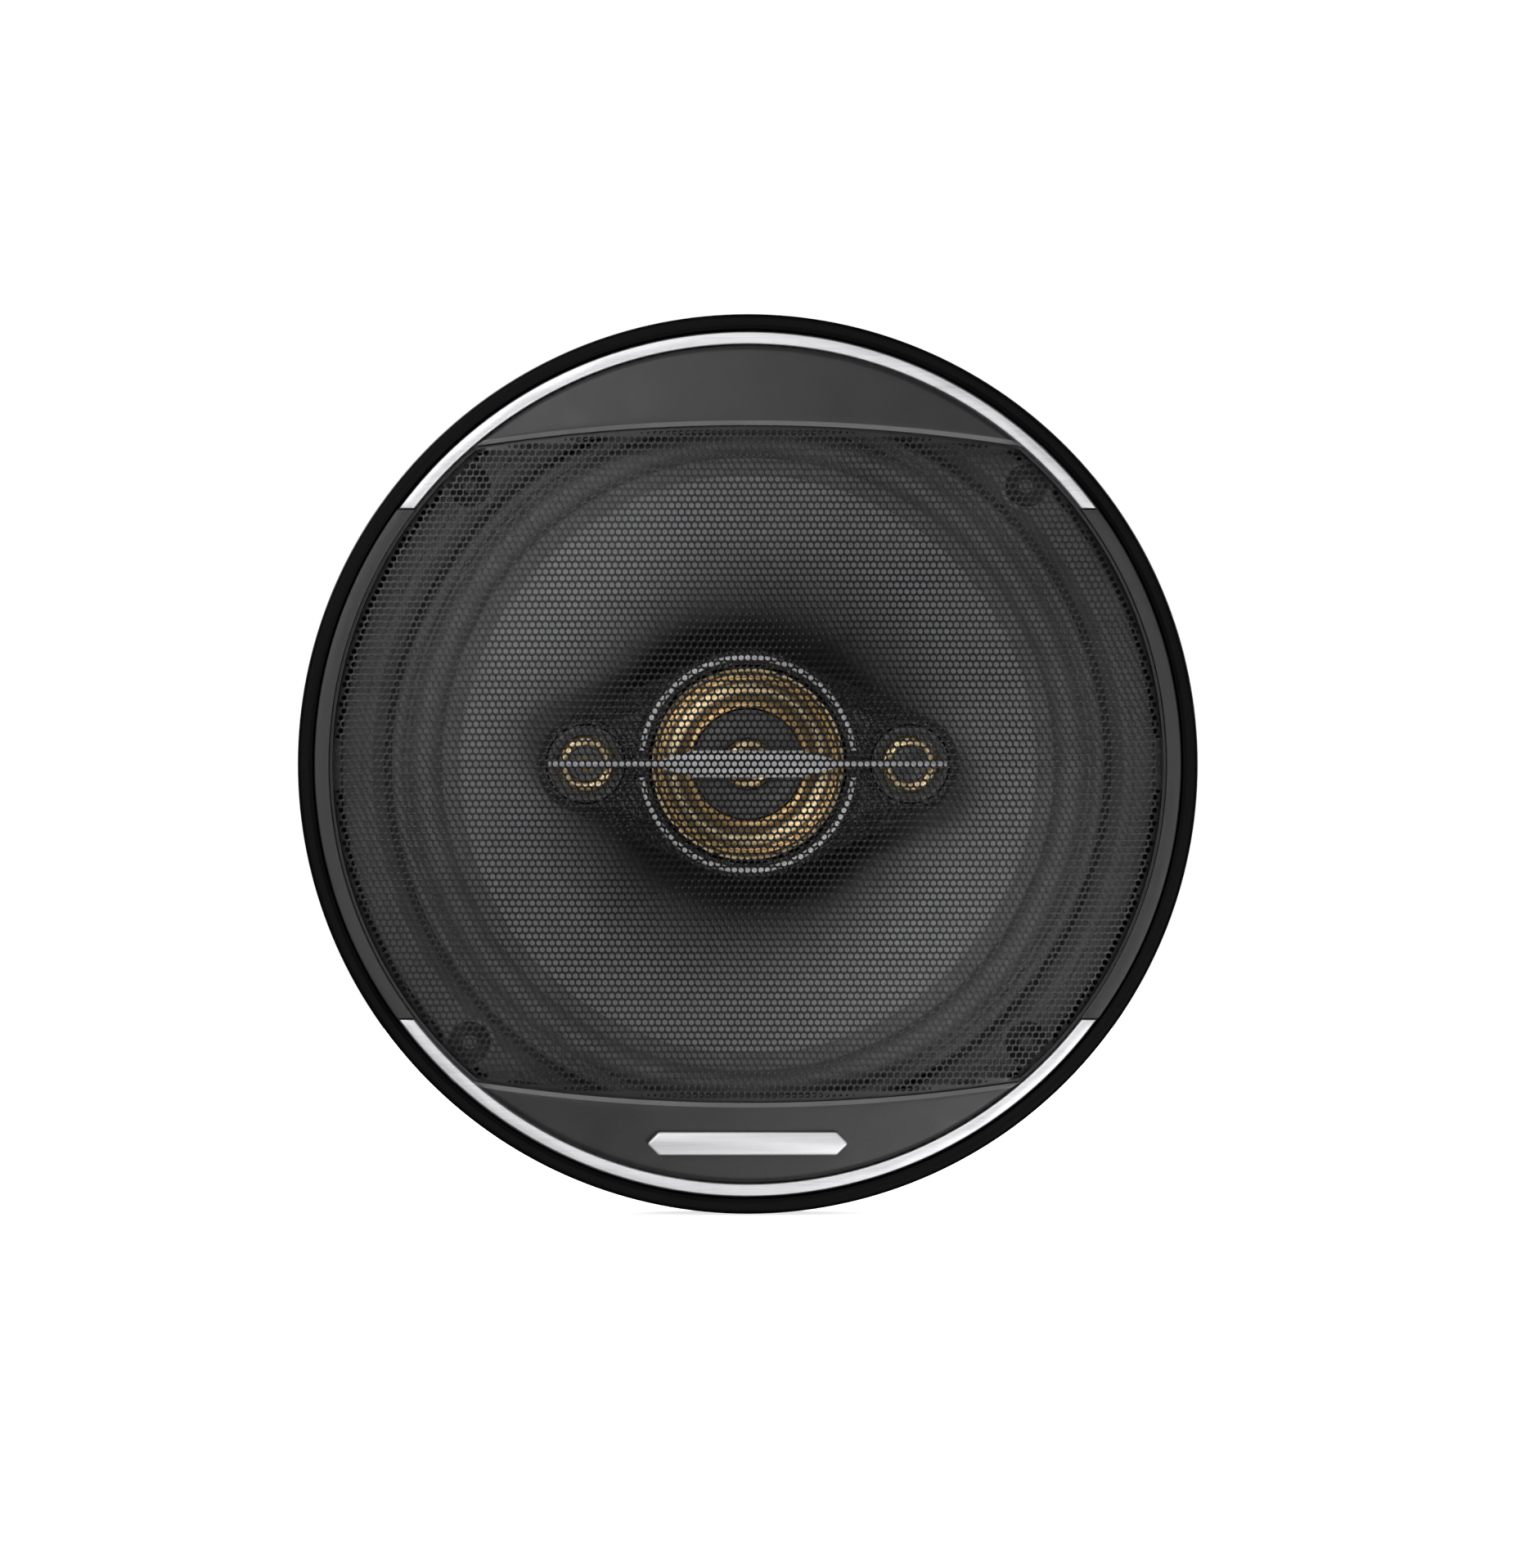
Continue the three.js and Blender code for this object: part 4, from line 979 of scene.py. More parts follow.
def perforated_sheet():
    rows = int(SHEET_R / HOLE_PITCH) + 1
    columns = 2 * rows
    top_row = int(edge_y(0, SHEET_EDGE_R) / HOLE_PITCH) + 1
    edges = np.linspace(-top_row, top_row + 1, SHEET_BANDS + 1).astype(int)
    level_drop = np.array([0, CHAMFER_DEPTH, SHEET_THICKNESS])
    for band in range(SHEET_BANDS):
        points, faces = sheet_band(edges[band], edges[band + 1] - 1, columns)
        x, y = pulled_inside(points[:, 0], points[:, 1])
        z = sheet_z(x, y) - level_drop[points[:, 2].astype(int)]
        mesh = bpy.data.meshes.new("band")
        mesh.from_pydata(place(np.column_stack([x, y, z])).tolist(), [], faces)
        project_flat(mesh)
        name = f"perforated_sheet_band_{band + 1}"
        piece(name, linked("band", mesh), "grille", SHEET_PAINT_AND_SHEEN, "perforated_sheet", 60)


def project_flat(mesh):
    """A plain front projection for the texture layer, since unwrapping so many holes is slow."""
    count = len(mesh.vertices)
    co = np.zeros(count * 3)
    mesh.vertices.foreach_get("co", co)
    flat = co.reshape(-1, 3)[:, [0, 2]]
    flat = (flat - flat.min(axis=0)) / (flat.max(axis=0) - flat.min(axis=0))
    corners = np.zeros(len(mesh.loops), int)
    mesh.loops.foreach_get("vertex_index", corners)
    layer = mesh.uv_layers.new(name="OFBake")
    layer.data.foreach_set("uv", flat[corners].ravel())


outer_ring()
bezel()
silver_strips()
badge()
perforated_sheet()


# ---------- basket and mounting ring ----------

SCREW_ANGLES = [math.radians(angle) for angle in (45, 135, 225, 315)]
SPIDER_SEAT_Z = -16
BASKET_SHEET = 1.2
LEAD_HOLE_R = 49.3
LEAD_SIDE = 4


def drilled(r, distance, angle, rear_z, front_z, segments=32):
    x, y = polar(distance, angle)
    return disc(r, rear_z, front_z, 0, segments, x, y)


def basket():
    """A steel pressing: flange, wall, spider seat and floor, with windows between four spokes."""
    sheet, seat_z, floor_z = BASKET_SHEET, SPIDER_SEAT_Z, rear("basket")
    profile = [
        (20, floor_z, 0.4), (35.6, floor_z, 1.8), (37.2, seat_z - sheet, 1.2),
        (46.6, seat_z - sheet, 2.5), (62.2, -4.6, 3), (63.2, 0, 0.8),
        (FLANGE_R, 0, 0.3), (FLANGE_R, sheet, 0.3), (61.9, sheet, 0.8),
        (61, -3.9, 2.4), (46, seat_z, 1.6), (36.2, seat_z, 1.2),
        (34.6, floor_z + sheet, 1.2), (20, floor_z + sheet, 0.4),
    ]
    pressing = turned(rounded(profile, 5), 288)
    raise_ribs(pressing)
    inner_r, outer_r, half = 48, 60.4, math.radians(34)
    outline = arc(0, 0, outer_r, -half, half, 24) + arc(0, 0, inner_r, half, -half, 24)
    corners = [(x, y, 2.2) if i in (0, 24, 25, 49) else (x, y) for i, (x, y) in enumerate(outline)]
    window = rounded(corners, 5)
    windows = [
        rotated(slab(window, floor_z - 5, -1.6, 0.01), turn * QUARTER_TURN) for turn in range(4)
    ]
    holes = [drilled(2.5, SCREW_PITCH_R, angle, -1, sheet + 1) for angle in SCREW_ANGLES]
    shelf = slab(box_outline(50.6, -9, 61.4, 9, 1), -13.6, -12.4, 0.2, 0.2)
    leads = [disc(1.3, -20, -10, 0, 24, LEAD_HOLE_R, side * LEAD_SIDE) for side in (-1, 1)]
    pressing = union(pressing, rotated(shelf, TERMINAL_ANGLE))
    pressing = cut(pressing, *windows, *holes, *[rotated(lead, TERMINAL_ANGLE) for lead in leads])
    piece("basket_pressing", softened(pressing, 0.18, 45), "frame", STEEL, "basket", 32)


def raise_ribs(pressing):
    """Presses a stiffening rib into each spoke except the one that carries the terminals."""
    rib_half_width, rib_height = 3.2, 1.1
    for vertex in pressing.data.vertices:
        x, z = vertex.co.x / MM, vertex.co.z / MM
        r, angle = math.hypot(x, z), math.atan2(z, x)
        along = min(max((r - 47.5) / 3, 0), max((61 - r) / 3, 0), 1)
        if not 0 < along:
            continue
        for spoke in (45, 135, 315):
            turn = math.remainder(angle - math.radians(spoke), FULL_TURN)
            across = abs(turn) * r / rib_half_width
            if across < 1:
                lift = rib_height * along * 0.5 * (1 + math.cos(math.pi * across))
                vertex.co.y += lift * 0.8 * MM


def mounting_ring():
    top_z, floor_z = MOUNT_RING_FRONT_Z, MOUNT_RING_REAR_Z
    inner_r, crest_r, outer_r = 69.3, 71.5, 77.4
    groove_inner_r, groove_outer_r, groove_z = 73.25, 73.6, top_z - 0.45
    profile = [
        (inner_r, floor_z, 0.2), (inner_r, floor_z + 0.8, 0.3), (crest_r, top_z, 0.7),
        (groove_inner_r, top_z, 0.1), (groove_inner_r, groove_z),
        (groove_outer_r, groove_z), (groove_outer_r, top_z, 0.1),
        (outer_r, top_z, 0.5), (outer_r, floor_z, 0.2),
    ]
    ring = turned(rounded(profile, 4), 256)
    ears = [drilled(5, SCREW_PITCH_R, angle, floor_z, top_z, 48) for angle in SCREW_ANGLES]
    pads = [
        rotated(slab(box_outline(76.4, -5, 79.2, 5, 0.5), 2.2, 4.4, 0.3), turn * QUARTER_TURN)
        for turn in range(4)
    ]
    pocket_z, knock_out, above = 3, 0.5, 8
    pockets = [drilled(4, SCREW_PITCH_R, angle, pocket_z, above, 48) for angle in SCREW_ANGLES]
    holes = [drilled(2.5, SCREW_PITCH_R, angle, floor_z + knock_out, above) for angle in SCREW_ANGLES]
    ring = cut(union(ring, *ears, *pads), *pockets, *holes)
    piece("mounting_ring_moulding", softened(ring, 0.15, 50), "frame", LEDGE, "grille_mount_ring", 32)


def gasket():
    low, high = span("gasket_ring")
    inner_r, outer_r, shoulder_z = 65.6, 67.9, high - 0.5
    profile = [
        (inner_r, low), (outer_r, low), (outer_r, shoulder_z, 0.3),
        (outer_r - 0.7, high, 0.3), (inner_r + 0.7, high, 0.3), (inner_r, shoulder_z, 0.3),
    ]
    piece("gasket_ring_foam", turned(rounded(profile), 256), "frame", LEDGE, "gasket_ring")


basket()
mounting_ring()
gasket()


# ---------- motor ----------

def yoke():
    low, plate_front = rear("t_yoke"), rear("t_yoke") + 4
    r, pole_front = radius("t_yoke"), front("t_yoke")
    profile = [
        (2.2, low + 2.4), (6.5, low + 2.4, 0.2), (6.5, low, 0.4),
        (r, low, 0.9), (r, plate_front, 0.3),
        (12, plate_front, 0.4), (12, pole_front, 0.6), (2.2, pole_front, 0.3),
    ]
    piece("t_yoke_forging", turned(rounded(profile, 5), 192), "frame", ZINC, "t_yoke")


def plates():
    turned_piece("magnet", "ring", 16, radius("magnet"), 0.9, 192, "frame", FERRITE)
    turned_piece("top_plate", "stamping", 13.8, radius("top_plate"), 0.5, 192, "frame", ZINC)
    turned_piece("centre_post", "tube", 2.2, radius("centre_post"), 0.3, 64, "frame", ZINC)


def hex_prism(across, rear_z, front_z):
    outline = [polar(across / math.sqrt(3), math.radians(60 * i)) for i in range(6)]
    return slab(outline, rear_z, front_z, 0.01)


def post_screw():
    (low, high), head_r, shank_r = span("post_screw"), radius("post_screw"), 1.8
    head = low + 1.9
    profile = [
        (0, low), (head_r, low, 0.7), (head_r, head, 0.2),
        (shank_r, head), (shank_r, high, 0.4), (0, high),
    ]
    screw = cut(turned(rounded(profile), 64), hex_prism(4.6, low - 1, low + 1.4))
    piece("post_screw_hex", softened(screw, 0.08), "frame", ZINC, "post_screw", 32)


yoke()
plates()
post_screw()


# ---------- terminals, capacitors and leads ----------

TAB_R = 57
TAB_SIDE = 5


def terminal_board():
    low, high = span("terminal_board")
    board = slab(box_outline(52.2, -9.5, 61.4, 9.5, 0.8), low, high, 0.15, 0.15)
    slots = []
    for side, half in ((-1, 2.6), (1, 1.6)):
        centre = side * TAB_SIDE
        outline = box_outline(TAB_R - 0.5, centre - half, TAB_R + 0.5, centre + half, 0.2)
        slots.append(slab(outline, low - 1, low + 0.6, 0.01))
    board = cut(board, *slots)
    piece("terminal_board_laminate", rotated(board, TERMINAL_ANGLE), "frame", LAMINATE, "terminal_board")


def terminal_tab(node_name, side, width):
    """A push-on blade with a chamfered tip and a locking hole."""
    low, high = span(node_name)
    half, chamfer = width / 2, 0.8
    outline = [
        (-half, high), (half, high), (half, low + 1.4), (half - chamfer, low), (chamfer - half, low),
        (-half, low + 1.4),
    ]
    blade = slab([(t, z) for t, z in outline[::-1]], -0.4, 0.4, 0.12, 0.12)
    hole = disc(min(0.8, half * 0.4), -1, 1, 0, 24, 0, low + 3)
    blade = cut(blade, hole)
    for vertex in blade.data.vertices:
        x, y, z = vertex.co / MM
        # the blade was drawn with its length along y; turn it to stand behind the board
        tangential, along, thickness = x, z, -y
        vertex.co = place([(TAB_R + thickness, side * TAB_SIDE + tangential, along)])[0]
    piece(node_name + "_blade", rotated(blade, TERMINAL_ANGLE), "frame", TIN, node_name)


def capacitor(node_name, r, length, centre_r, angle):
    """A sleeve shrunk over a can, with a rolled groove near one end."""
    z = SPIDER_SEAT_Z - BASKET_SHEET - 0.4 - r
    half = length / 2
    profile = [
        (0, -half), (r - 0.35, -half, 0.2), (r, -half + 0.4, 0.2), (r, half - 2.6, 0.3),
        (r - 0.4, half - 2.1, 0.3), (r, half - 1.6, 0.3), (r, half - 0.4, 0.2),
        (r - 0.35, half, 0.2), (0, half),
    ]
    can = turned(rounded(profile), 64)
    for vertex in can.data.vertices:
        x, y, depth = vertex.co.x / MM, vertex.co.z / MM, -vertex.co.y / MM
        vertex.co = place([(centre_r + x, depth, z + y)])[0]
    piece(node_name + "_can", rotated(can, angle), "frame", SLEEVE, node_name)


def smooth_route(points, steps=8):
    """A Catmull-Rom curve through the points."""
    points = np.array(points, float)
    padded = np.vstack([2 * points[0] - points[1], points, 2 * points[-1] - points[-2]])
    route = []
    for i in range(1, len(padded) - 2):
        a, b, c, d = padded[i - 1:i + 3]
        for step in range(steps):
            t = step / steps
            route.append(0.5 * (2 * b + (c - a) * t + (2 * a - 5 * b + 4 * c - d) * t ** 2
                                + (3 * b - a - 3 * c + d) * t ** 3))
    route.append(points[-1])
    return np.array(route)


def lead(node_name, side):
    """A braided lead from the board, through the basket and up to the back of the cone."""
    route = smooth_route([
        (LEAD_HOLE_R, -15.6), (LEAD_HOLE_R, -12.4),
        (47.4, -8.6), (43.2, -6.8), (38.4, -6.6), (35.4, -6.2),
    ])
    lead_r, sides, rings = 0.5, 12, []
    for i, (r, z) in enumerate(route):
        ahead = route[min(i + 1, len(route) - 1)] - route[max(i - 1, 0)]
        ahead /= np.linalg.norm(ahead)
        ring = []
        for step in range(sides):
            across, out = polar(lead_r, FULL_TURN * step / sides)
            ring.append((r - ahead[1] * out, side * LEAD_SIDE + across, z + ahead[0] * out))
        rings.append(ring)
    tinsel = piece(node_name + "_braid", rotated(loft(rings), TERMINAL_ANGLE), None, BRAID, node_name)
    ends = [rotated_point((r, side * LEAD_SIDE, z), TERMINAL_ANGLE) for r, z in (route[8], route[-4])]
    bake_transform(tinsel, "frame", "cone_assembly", start=ends[0], end=ends[1])


def rotated_point(point, angle):
    c, s = polar(1, angle)
    x, y, z = point
    return tuple(place([(x * c - y * s, x * s + y * c, z)])[0])


terminal_board()
terminal_tab("terminal_tab_positive", -1, 4.8)
terminal_tab("terminal_tab_negative", 1, 2.8)
capacitor("midrange_capacitor", 4, 15, 46, TERMINAL_ANGLE - math.radians(20))
capacitor("tweeter_capacitor", 3, 12, 44, TERMINAL_ANGLE + math.radians(17))
lead("tinsel_lead_positive", -1)
lead("tinsel_lead_negative", 1)


# ---------- cone, surround, spider and voice coil ----------

def smoothstep(t):
    t = min(max(t, 0), 1)
    return t * t * (3 - 2 * t)


def blend_radially(flexible, fixed_r, moving_r):
    """Bends a turned piece between the frame and the cone, by its distance from the axis."""
    start = place([(fixed_r, 0, 0)])[0]
    end = place([(moving_r, 0, 0)])[0]
    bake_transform(flexible, "frame", "cone_assembly", start=tuple(start), end=tuple(end))
    weights = flexible.data.attributes["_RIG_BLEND"]
    for vertex, weight in zip(flexible.data.vertices, weights.data):
        r = math.hypot(vertex.co.x, vertex.co.z) / MM
        weight.value = smoothstep((fixed_r - r) / (fixed_r - moving_r))


def cone():
    thickness, steps = 0.7, 40
    radii = np.linspace(NECK_R, CONE_R, steps + 1)
    neck_z = CONE_REAR_Z + 0.8
    curve = []
    for r in radii:
        along = (r - NECK_R) / (CONE_R - NECK_R)
        curve.append((r, neck_z + (CONE_FRONT_Z - neck_z) * (1 - (1 - along) ** 1.25)))
    under = [(r, z - thickness) for r, z in curve]
    piece("cone_moulding", turned(under + curve[::-1], 256), "cone_assembly", CONE_FILM, "cone")


def surround():
    """Half a roll between two flat bands: the inner one is glued to the cone."""
    low, inner_r = SURROUND_REAR_Z, SURROUND_R - 12.4
    flat_z, roll_r, over, under = low + 0.7, SURROUND_R - 6.1, 3.2, 2.7
    top = [(SURROUND_R, flat_z), (roll_r + over + 0.9, flat_z)]
    top += arc(roll_r, flat_z, over, 0.12, math.pi - 0.12, 24)
    top += [(roll_r - over - 0.9, flat_z), (inner_r + 0.5, flat_z), (inner_r, flat_z - 0.25)]
    bottom = [(inner_r, low)] + arc(roll_r, low, under, math.pi, 0, 24) + [(SURROUND_R, low)]
    roll = piece("surround_roll", turned(top + bottom, 256), None, RUBBER, "surround", 50)
    blend_radially(roll, roll_r + under, roll_r - under)


def spider():
    """A corrugated disc of stiffened cloth, flat where it is glued to its seat."""
    low, pleats, pleated_r, outer_r = rear("spider"), 6, 35.0, radius("spider")
    thickness, height = 0.36, 1.2
    curve = []
    for step in range(97):
        along = step / 96
        rise = height * 0.5 * (1 - math.cos(FULL_TURN * pleats / 2 * along))
        curve.append((NECK_R + 0.05 + (pleated_r - NECK_R) * along, low + rise))
    curve.append((outer_r, low))
    top = [(r, z + thickness) for r, z in curve]
    disc_mesh = turned(curve + top[::-1], 192)
    cloth = piece("spider_cloth_disc", disc_mesh, None, CLOTH, "spider", 60)
    blend_radially(cloth, pleated_r, NECK_R + 1)


def voice_coil():
    former, winding = "voice_coil_former", "voice_coil_winding"
    turned_piece(former, "tube", 12.5, radius(former), 0.08, 128, "cone_assembly", FOIL)
    turned_piece(winding, "turns", 12.9, radius(winding), 0.12, 128, "cone_assembly", WINDING)


cone()
surround()
spider()
voice_coil()


# ---------- centre module ----------

def lobed(centre_r, side_r, steps=20):
    """A large centre circle and two small side circles, joined by their tangents."""
    tangent = math.acos((centre_r - side_r) / TWEETER_X)
    return (arc(TWEETER_X, 0, side_r, -tangent, tangent, steps)
            + arc(0, 0, centre_r, tangent, math.pi - tangent, 2 * steps)
            + arc(-TWEETER_X, 0, side_r, math.pi - tangent, math.pi + tangent, steps)
            + arc(0, 0, centre_r, math.pi + tangent, FULL_TURN - tangent, 2 * steps))


FLANK_INSET = 4.2
FLANK_REAR_Z = 5.15
FLANK_TOP_Z = 11
TURRET_R = 8.6
TURRET_FRONT_Z = 11.6
BARREL_BORE_R = 18.9
SCREW_X = 23.5
SCREW_Y = 9
SCREW_HOLE_R = 1.3


def module_housing():
    shoulder, slope_steps = 0.15, 6
    levels = [(0.2, MODULE_REAR_Z), (0, MODULE_REAR_Z + 0.2), (0, 4.9), (shoulder, FLANK_REAR_Z)]
    for step in range(1, slope_steps + 1):
        along = step / slope_steps
        distance = shoulder + (FLANK_INSET - shoulder) * along
        levels.append((distance, FLANK_REAR_Z + (FLANK_TOP_Z - FLANK_REAR_Z) * along ** 0.9))
    rings = []
    for distance, z in levels:
        rings.append([(x, y, z) for x, y in lobed(MODULE_R - distance, LOBE_R - distance)])
    flanks = loft(rings)
    edge = 0.5
    barrel = disc(MODULE_R, MODULE_REAR_Z + 0.5, MODULE_FRONT_Z, edge, 192)
    turrets = [
        disc(TURRET_R, MODULE_REAR_Z + 0.5, TURRET_FRONT_Z, edge, 96, side * TWEETER_X)
        for side in (-1, 1)
    ]
    housing = union(flanks, barrel, *turrets)
    bores = [disc(BARREL_BORE_R, 0, 20, 0, 192)]
    for side in (-1, 1):
        bores.append(disc(7.6, 0, 20, 0, 96, side * TWEETER_X))
        bores.append(disc(SCREW_HOLE_R, 0, 7.6, 0, 24, side * SCREW_X, side * SCREW_Y))
    housing = cut(housing, *bores)
    piece("module_housing_moulding", softened(housing, 0.12, 50), "frame", SPARKLE, "module_housing", 32)


def module_back_cover():
    arm_front, floor_z = MODULE_REAR_Z - 0.3, rear("module_back_cover")
    arm_rear = arm_front - 1.3
    arms = slab(lobed(MODULE_R - 0.6, LOBE_R - 0.6), arm_rear, arm_front, 0.2, 0.2)
    bowl_r, rim_z = 20.6, arm_rear + 0.5
    bowl = turned(rounded([
        (0, floor_z), (16, floor_z, 2), (bowl_r, rim_z, 1), (bowl_r, arm_front), (0, arm_front),
    ]), 128)
    hollow = turned([
        (0, floor_z + 1.1), (15, floor_z + 1.1), (BARREL_BORE_R, rim_z),
        (BARREL_BORE_R, arm_front + 1), (0, arm_front + 1),
    ], 128)
    bores = [disc(2.2, floor_z - 1, 0, 0, 32)]
    bores += [disc(SCREW_HOLE_R, 0, 8, 0, 24, side * SCREW_X, side * SCREW_Y) for side in (-1, 1)]
    cover = cut(union(arms, bowl), hollow, *bores)
    piece("module_back_cover_moulding", softened(cover, 0.15, 50), "frame", DARK, "module_back_cover", 32)


def module_screws():
    for name, side in (("module_screw_left", -1), ("module_screw_right", 1)):
        low, high = span(name)
        head = low + 1.1
        profile = [(0, low), (2.2, low, 0.5), (2.2, head, 0.15), (1, head), (1, high, 0.4), (0, high)]
        x, y = side * SCREW_X, side * SCREW_Y
        screw = turned(rounded(profile), 48, x, y)
        slots = []
        for wide, tall in ((1.2, 0.25), (0.25, 1.2)):
            cross = box_outline(x - wide, y - tall, x + wide, y + tall, 0.1)
            slots.append(slab(cross, low - 1, low + 0.7, 0.01))
        piece(name + "_pan_head", cut(screw, *slots), "frame", ZINC, name, 32)


def bright_trim():
    inner_r, outer_r, end_y = 19.6, 20.7, 2.5
    outline = strip_outline(inner_r, outer_r, end_y, 72)
    for name, turn in (("silver_ring_upper", 0), ("silver_ring_lower", math.pi)):
        half_ring = rotated(slab(outline, *span("silver_ring_upper"), 0.25), turn)
        piece(name + "_trim", half_ring, "frame", SATIN_SILVER, name, 50)
    half_height, lens_half_length, lens_flat, lens_half_height = 0.6, 17.8, 10.4, 2.6
    quarter = [
        (BAR_HALF_LENGTH, half_height, 0.3), (lens_half_length, half_height, 6),
        (lens_flat, lens_half_height, 2),
    ]
    corners = quarter + [(-x, y, r) for x, y, r in quarter[::-1]]
    corners += [(-x, -y, r) for x, y, r in quarter] + [(x, -y, r) for x, y, r in quarter[::-1]]
    bar = slab(rounded(corners, 6), *span("cross_bar"), 0.3)
    piece("cross_bar_trim", bar, "frame", SATIN_SILVER, "cross_bar", 50)


module_housing()
module_back_cover()
module_screws()
bright_trim()


# ---------- midrange ----------

def midrange():
    turned_piece("midrange_frame", "moulding", 16.2, 18.6, 0.2, 128, "frame", DARK)
    (low, high), pot_r, bore_r = span("midrange_pot"), radius("midrange_pot"), 10.9
    pot = [
        (0, low), (pot_r, low, 0.8), (pot_r, high, 0.2),
        (bore_r, high, 0.2), (bore_r, low + 2.5, 0.5), (0, low + 2.5),
    ]
    piece("midrange_pot_cup", turned(rounded(pot), 128), "frame", ZINC, "midrange_pot")
    turned_piece("midrange_magnet", "disc", 0, 8.4, 0.3, 96, "frame", NICKEL)
    turned_piece("midrange_pole_plate", "disc", 0, 9.2, 0.25, 96, "frame", ZINC)
    turned_piece("midrange_voice_coil", "turns", 9.7, 10.2, 0.1, 96, "midrange_diaphragm", WINDING)


def film(node_name, points, thickness, segments, body, material, x=0.0):
    """A thin pressed film that follows a smooth curve through [radius, z] points."""
    curve = [tuple(point) for point in smooth_route(points, 6)]
    under = [(r, z - thickness) for r, z in curve]
    solid = turned(under + curve[::-1], segments, x)
    piece(node_name + "_film", solid, body, material, node_name, 60)


def midrange_films():
    top = front("midrange_surround")
    roll = [
        (10.7, top - 1.7), (11.4, top - 2.1), (12.2, top - 1.3), (13.1, top - 0.4), (14.2, top),
        (15.3, top - 0.3), (16.1, top - 0.9), (16.4, top - 0.7), (16.8, top - 1.3), (17.1, top - 1.1),
        (17.5, top - 1.7), (18.2, top - 1.8),
    ]
    film("midrange_surround", roll, 0.35, 192, "midrange_diaphragm", GOLD)
    crest = front("midrange_dome")
    dome = [
        (5, crest - 0.5), (5.6, crest - 0.1), (6.8, crest), (8.6, crest - 0.2), (9.6, crest - 0.55),
        (10.1, crest - 1.0), (10.3, crest - 1.1),
    ]
    film("midrange_dome", dome, 0.3, 192, "midrange_diaphragm", DOME_FILM)
    peak = front("midrange_centre_cap")
    cap = [
        (0, peak), (1.2, peak - 0.15), (2.4, peak - 0.7), (3.3, peak - 1.25), (4.2, peak - 1.4),
        (4.7, peak - 1.2),
    ]
    film("midrange_centre_cap", cap, 0.3, 96, "midrange_diaphragm", GOLD)


midrange()
midrange_films()


# ---------- tweeter and super tweeter ----------

def tweeter(name, x, dome, film_material):
    """A small driver with its axis at x. The dome is the [radius, z] curve of its film."""
    body = name + "_diaphragm"
    low, high = span(name + "_bezel")
    rim = [(5.6, low), (7.3, low), (7.3, high, 0.4), (6.5, high, 0.5), (5.6, low + 1.7, 0.4)]
    piece(name + "_bezel_ring", turned(rounded(rim), 96, x), "frame", LEDGE, name + "_bezel")
    low, high = span(name + "_pot")
    pot = [
        (0, low), (6.6, low, 0.5), (6.6, high, 0.2),
        (3.7, high, 0.2), (3.7, low + 1, 0.3), (0, low + 1),
    ]
    piece(name + "_pot_cup", turned(rounded(pot), 96, x), "frame", ZINC, name + "_pot")
    turned_piece(name + "_magnet", "disc", 0, 2.3, 0.2, 64, "frame", NICKEL, x)
    top = front(name + "_roll")
    roll = [(3.4, top - 0.5), (3.7, top - 0.12), (4.3, top), (4.9, top - 0.12), (5.3, top - 0.5)]
    film(name + "_roll", roll, 0.25, 96, body, GOLD, x)
    film(name + "_dome", dome, 0.25, 96, body, film_material, x)
    turned_piece(name + "_voice_coil", "turns", 2.8, 3.2, 0.08, 64, body, WINDING, x)


DISHED = [(0, 10.1), (0.8, 9.95), (1.4, 9.35), (1.9, 9.2), (2.6, 9.45), (3.2, 9.6)]
PLAIN = [(0, 9.6), (1, 9.57), (2, 9.45), (3.2, 9.15)]
tweeter("tweeter", -TWEETER_X, DISHED, GILDED_FILM)
tweeter("super_tweeter", TWEETER_X, PLAIN, DOME_FILM)


# ---------- floor and light ----------

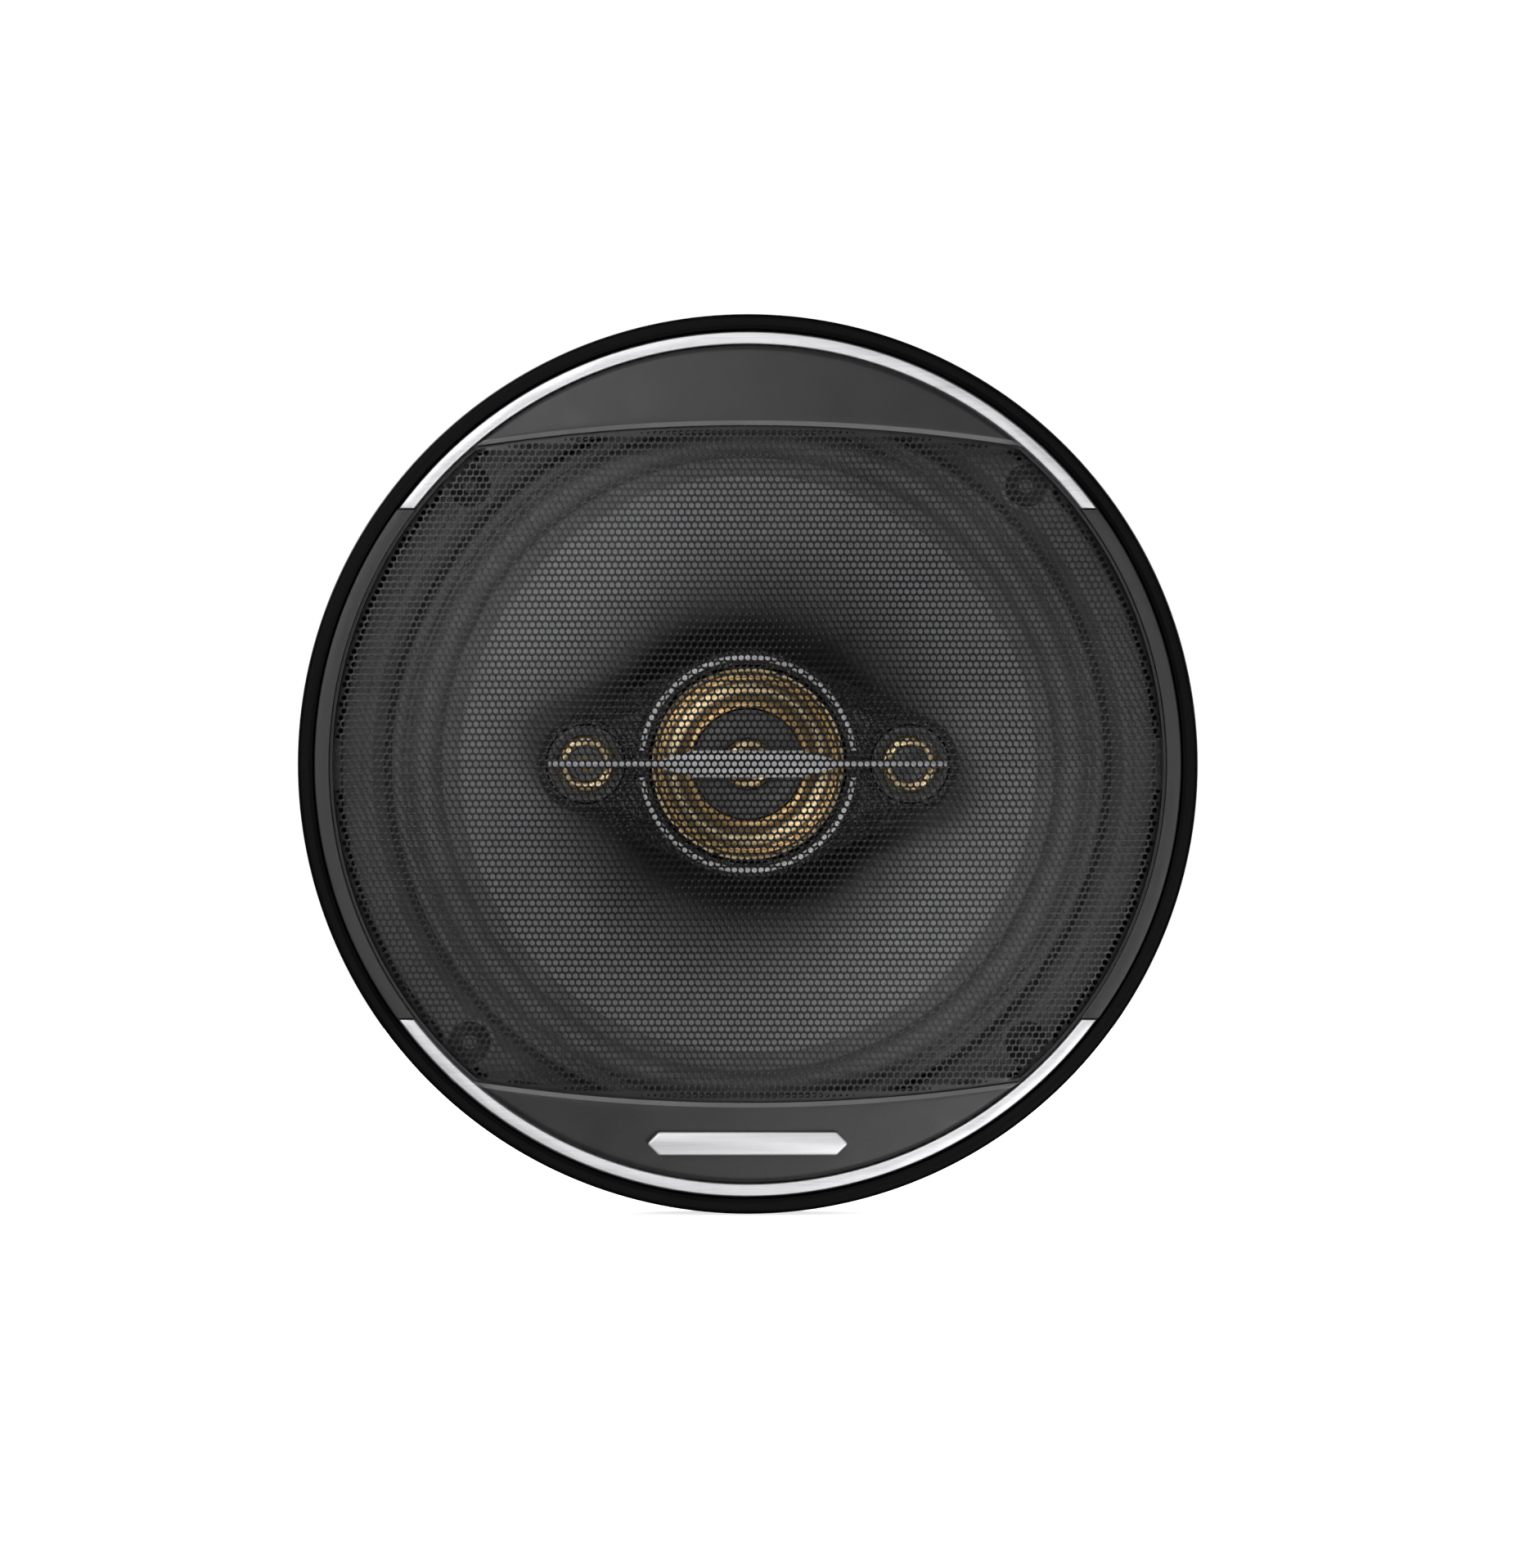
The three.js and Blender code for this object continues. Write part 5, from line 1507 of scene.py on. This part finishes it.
def floor():
    size, z = 0.9, cad_bounds[0].z - 0.0002
    bm = bmesh.new()
    bmesh.ops.create_grid(bm, x_segments=2, y_segments=2, size=size)
    mesh = bpy.data.meshes.new("floor")
    bm.to_mesh(mesh)
    bm.free()
    ground = linked("floor", mesh)
    ground.location.z = z
    ground.visible_shadow = False
    ground.visible_diffuse = False
    ground.visible_glossy = False
    paint = material("floor", "floor", Roughness=0.9, Specular_IOR_Level=0.1, Emission_Strength=0.75)
    paint.node_tree.nodes["Principled BSDF"].inputs["Emission Color"].default_value = (1, 1, 1, 1)
    tone = coloured(paint, noise(paint, 40, 2), (0.3, (0.88, 0.88, 0.88)), (0.7, (0.92, 0.92, 0.92)))
    feed(paint, "Base Color", tone)
    mesh.materials.append(paint)


def softbox(name, position, size, watts):
    """A square area light that points at the middle of the speaker."""
    data = bpy.data.lights.new(name, "AREA")
    data.shape = "RECTANGLE"
    data.size = data.size_y = size
    data.energy = watts
    light = linked(name, data)
    light.location = position
    light.rotation_euler = (-Vector(position)).to_track_quat("-Z", "Y").to_euler()


def studio():
    world = bpy.data.worlds.new("studio")
    world.use_nodes = True
    tree = world.node_tree
    shown = tree.nodes["Background"]
    shown.inputs["Color"].default_value = (1, 1, 1, 1)
    shown.inputs["Strength"].default_value = 1.0
    ambient = tree.nodes.new("ShaderNodeBackground")
    ambient.inputs["Color"].default_value = (1, 1, 1, 1)
    ambient.inputs["Strength"].default_value = 0.04
    rays = tree.nodes.new("ShaderNodeLightPath")
    either = tree.nodes.new("ShaderNodeMixShader")
    tree.links.new(rays.outputs["Is Camera Ray"], either.inputs["Fac"])
    tree.links.new(ambient.outputs["Background"], either.inputs[1])
    tree.links.new(shown.outputs["Background"], either.inputs[2])
    tree.links.new(either.outputs["Shader"], tree.nodes["World Output"].inputs["Surface"])
    bpy.context.scene.world = world
    softbox("key_upper_left", (-0.66, -1.35, 0.66), 1.0, 12)
    softbox("key_lower_right", (0.66, -1.35, -0.66), 1.0, 11)
    softbox("near_upper_left", (-0.62, -2.0, 0.62), 0.6, 8)
    softbox("near_lower_right", (0.62, -2.0, -0.62), 0.6, 8)
    softbox("rear_left", (-1.0, 1.1, 0.9), 0.8, 30)
    softbox("rear_right", (1.0, 1.2, 0.5), 0.8, 22)
    bpy.context.scene.view_settings.view_transform = "Standard"


floor()
studio()
